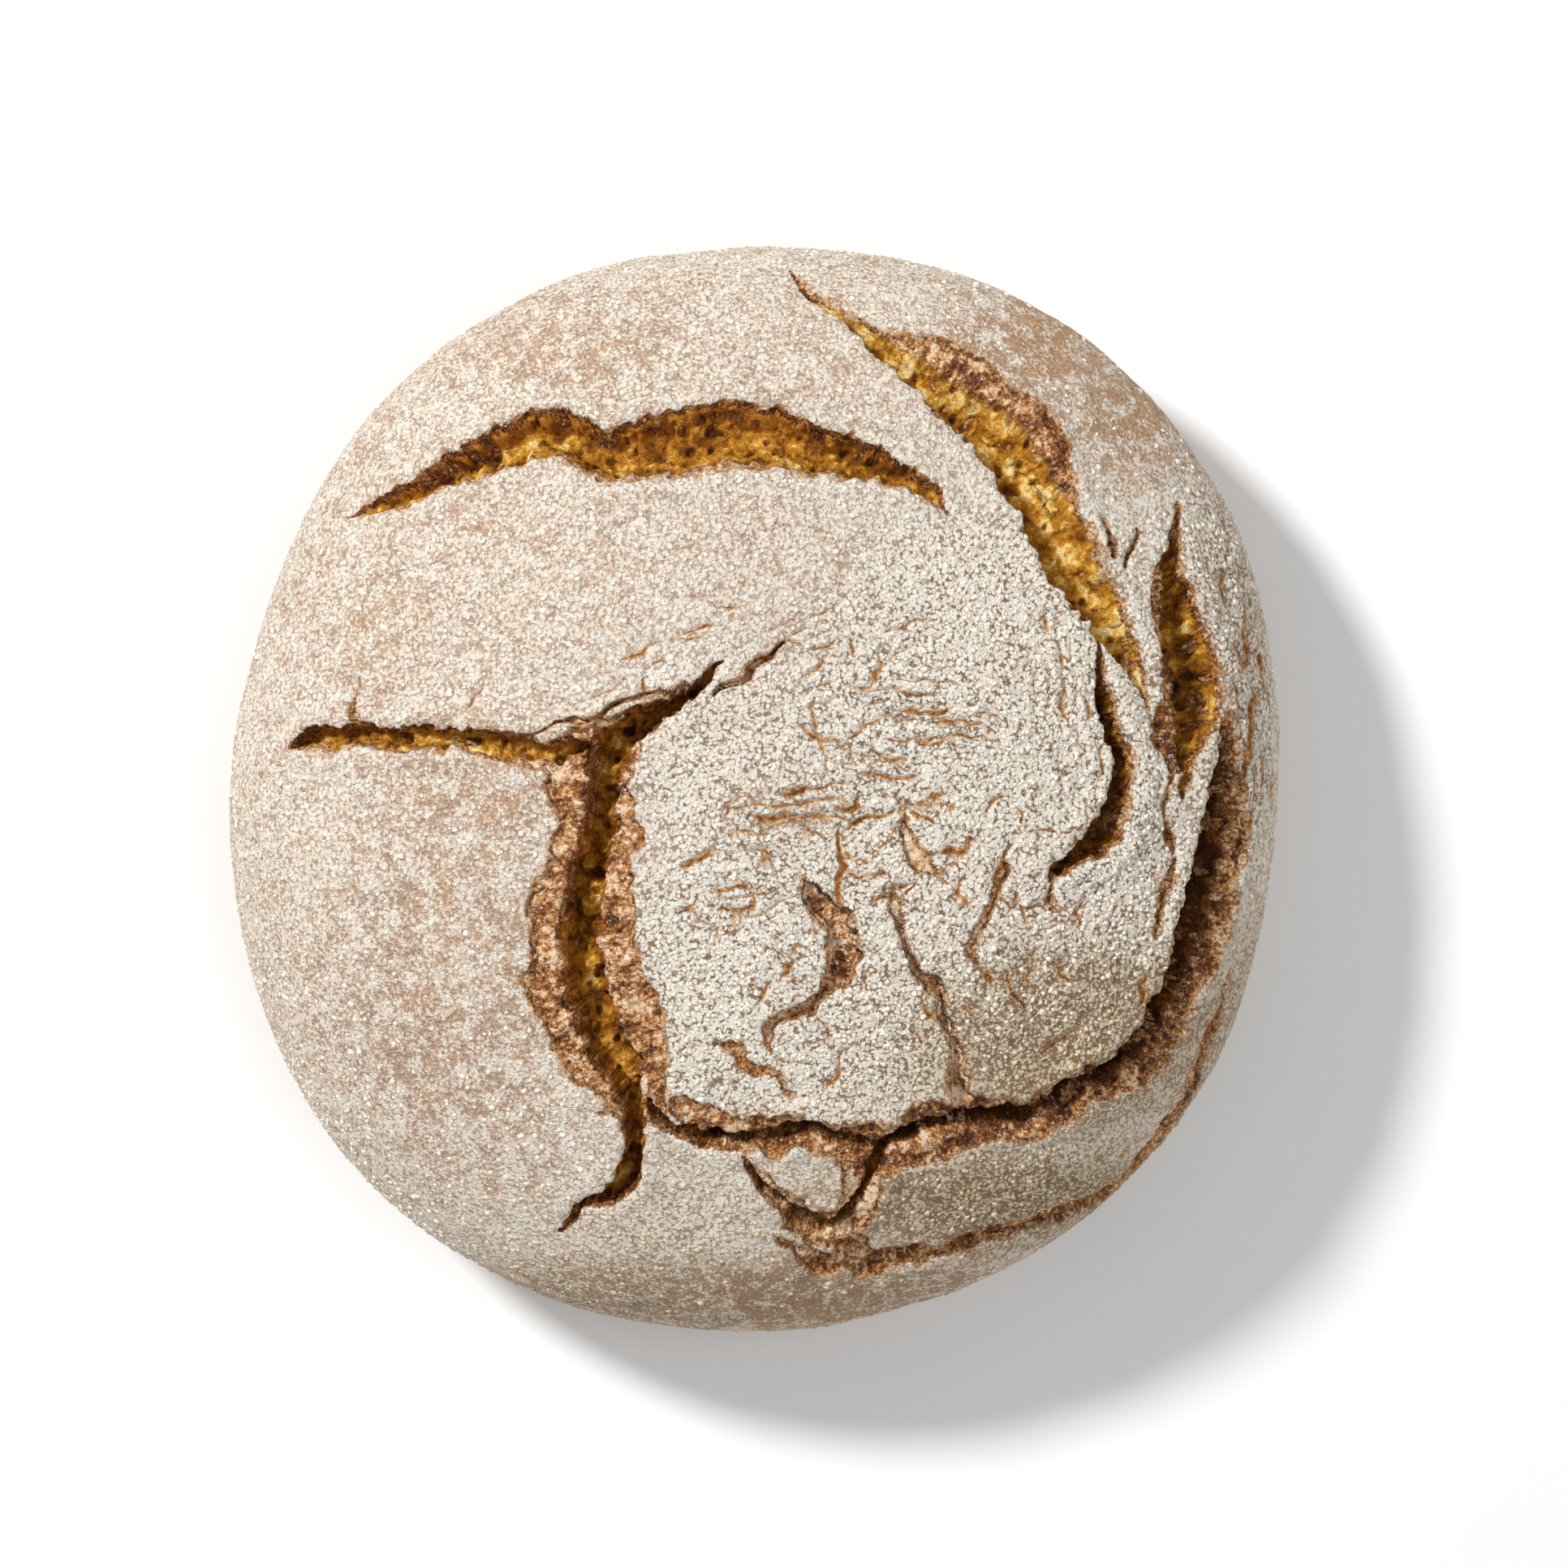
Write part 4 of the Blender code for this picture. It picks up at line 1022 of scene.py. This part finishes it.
def scattered(name, ground, finish):
    want = scatters[name]
    made = bpy.data.objects.new(name, ground.data.copy())
    bpy.context.scene.collection.objects.link(made)
    modifier = made.modifiers.new("scatter", "NODES")
    modifier.node_group = scatterTree(name, finish)
    values = {"Per Square Metre": float(want["perSquareMetre"]), "Least Size": want["least"] * mm,
              "Most Size": want["most"] * mm, "Flatness": want["flat"], "Seed": want["seed"],
              "Share": want["share"]}
    for socket in modifier.node_group.interface.items_tree:
        if socket.in_out == "INPUT" and socket.name in values:
            modifier[socket.identifier] = values[socket.name]
    graph = bpy.context.evaluated_depsgraph_get()
    done = bpy.data.meshes.new_from_object(made.evaluated_get(graph), depsgraph=graph)
    made.modifiers.clear()
    made.data = done
    done.materials.clear()
    done.materials.append(finish)
    print(name, len(done.polygons), "faces")
    return made


print("crust: working out the skin")
skin, skinFaces, skinLooks, rimRing = makeCrust()
middle = (skin.min(axis=0) + skin.max(axis=0)) / 2
shift = np.array([middle[0], middle[1], 0])
skin, skinFaces, skinLooks = withBase(skin, skinFaces, skinLooks, rimRing)
print("crust: building and thinning")
crust = meshOf("crust", inFrame(skin), skinFaces, skinLooks)
crust = thinned(crust, crustGrid["triangles"])
crust.data.materials.append(crustMaterial())
print("crumb: working out the torn bread")
torn, tornFaces, tornLooks = makeCrumb()
crumb = meshOf("crumb", inFrame(torn), tornFaces, tornLooks)
print("crumb faces", len(crumb.data.polygons))
crumb = thinned(crumb, crumbGrid["triangles"])
crumb.data.materials.append(crumbMaterial())
finishes = {"powder": powderMaterial(), "bit": bitMaterial()}
pieces = [crust, crumb]
for name, want in scatters.items():
    pieces.append(scattered(name, crust, finishes[want["material"]]))

for piece in pieces:
    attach(piece, "root")
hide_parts("loaf")

# The photo's pale room: a floor, two soft lights, an even sky and the camera above
lights = {
    "key": {"place": (-1.08, 0.88, 1.45), "size": 0.30, "power": 35.4, "tint": (1.0, 0.995, 0.985)},
    "fill": {"place": (0.8, -0.3, 1.6), "size": 1.4, "power": 9, "tint": (0.98, 0.99, 1.0)},
}
room = {"floorSize": 6, "belowLoaf": 0.0002, "strength": 0.35}


def makeFloor():
    bpy.ops.mesh.primitive_plane_add(size=room["floorSize"], location=(0, 0, -room["belowLoaf"]))
    floor = bpy.context.object
    floor.name = "floor"
    m = Nodes("paleFloor")
    floor.data.materials.append(m.finish(seen(246, 246, 246), None, 0.9, 0.1))


def softLight(name, place, size, power, tint):
    # A round lamp that faces the loaf
    lamp = bpy.data.lights.new(name, "AREA")
    lamp.shape, lamp.size, lamp.energy, lamp.color = "DISK", size, power, tint
    made = bpy.data.objects.new(name, lamp)
    made.location = place
    toward = -made.location.normalized()
    made.rotation_euler = toward.to_track_quat("-Z", "Y").to_euler()
    bpy.context.scene.collection.objects.link(made)


def makeCamera():
    camera = bpy.data.cameras.new("above")
    camera.sensor_width = view["sensor"]
    frameWidth = view["perPixel"] * view["photo"]
    camera.lens = view["sensor"] * view["distance"] / frameWidth
    camera.clip_start, camera.clip_end = 0.05, 20
    made = bpy.data.objects.new("above", camera)
    x, y = view["middle"]
    made.location = (x * mm, y * mm, (view["distance"] + loafBody["waistHeight"]) * mm)
    bpy.context.scene.collection.objects.link(made)
    bpy.context.scene.camera = made


def makeSky():
    world = bpy.data.worlds.new("paleRoom")
    world.use_nodes = True
    sky = world.node_tree.nodes["Background"].inputs
    sky["Color"].default_value = (1.0, 1.0, 1.0, 1)
    sky["Strength"].default_value = room["strength"]
    bpy.context.scene.world = world


print("floor, lights and camera")
makeFloor()
for name, light in lights.items():
    softLight(name, **light)
makeCamera()
makeSky()
bpy.context.scene.view_settings.view_transform = "Standard"
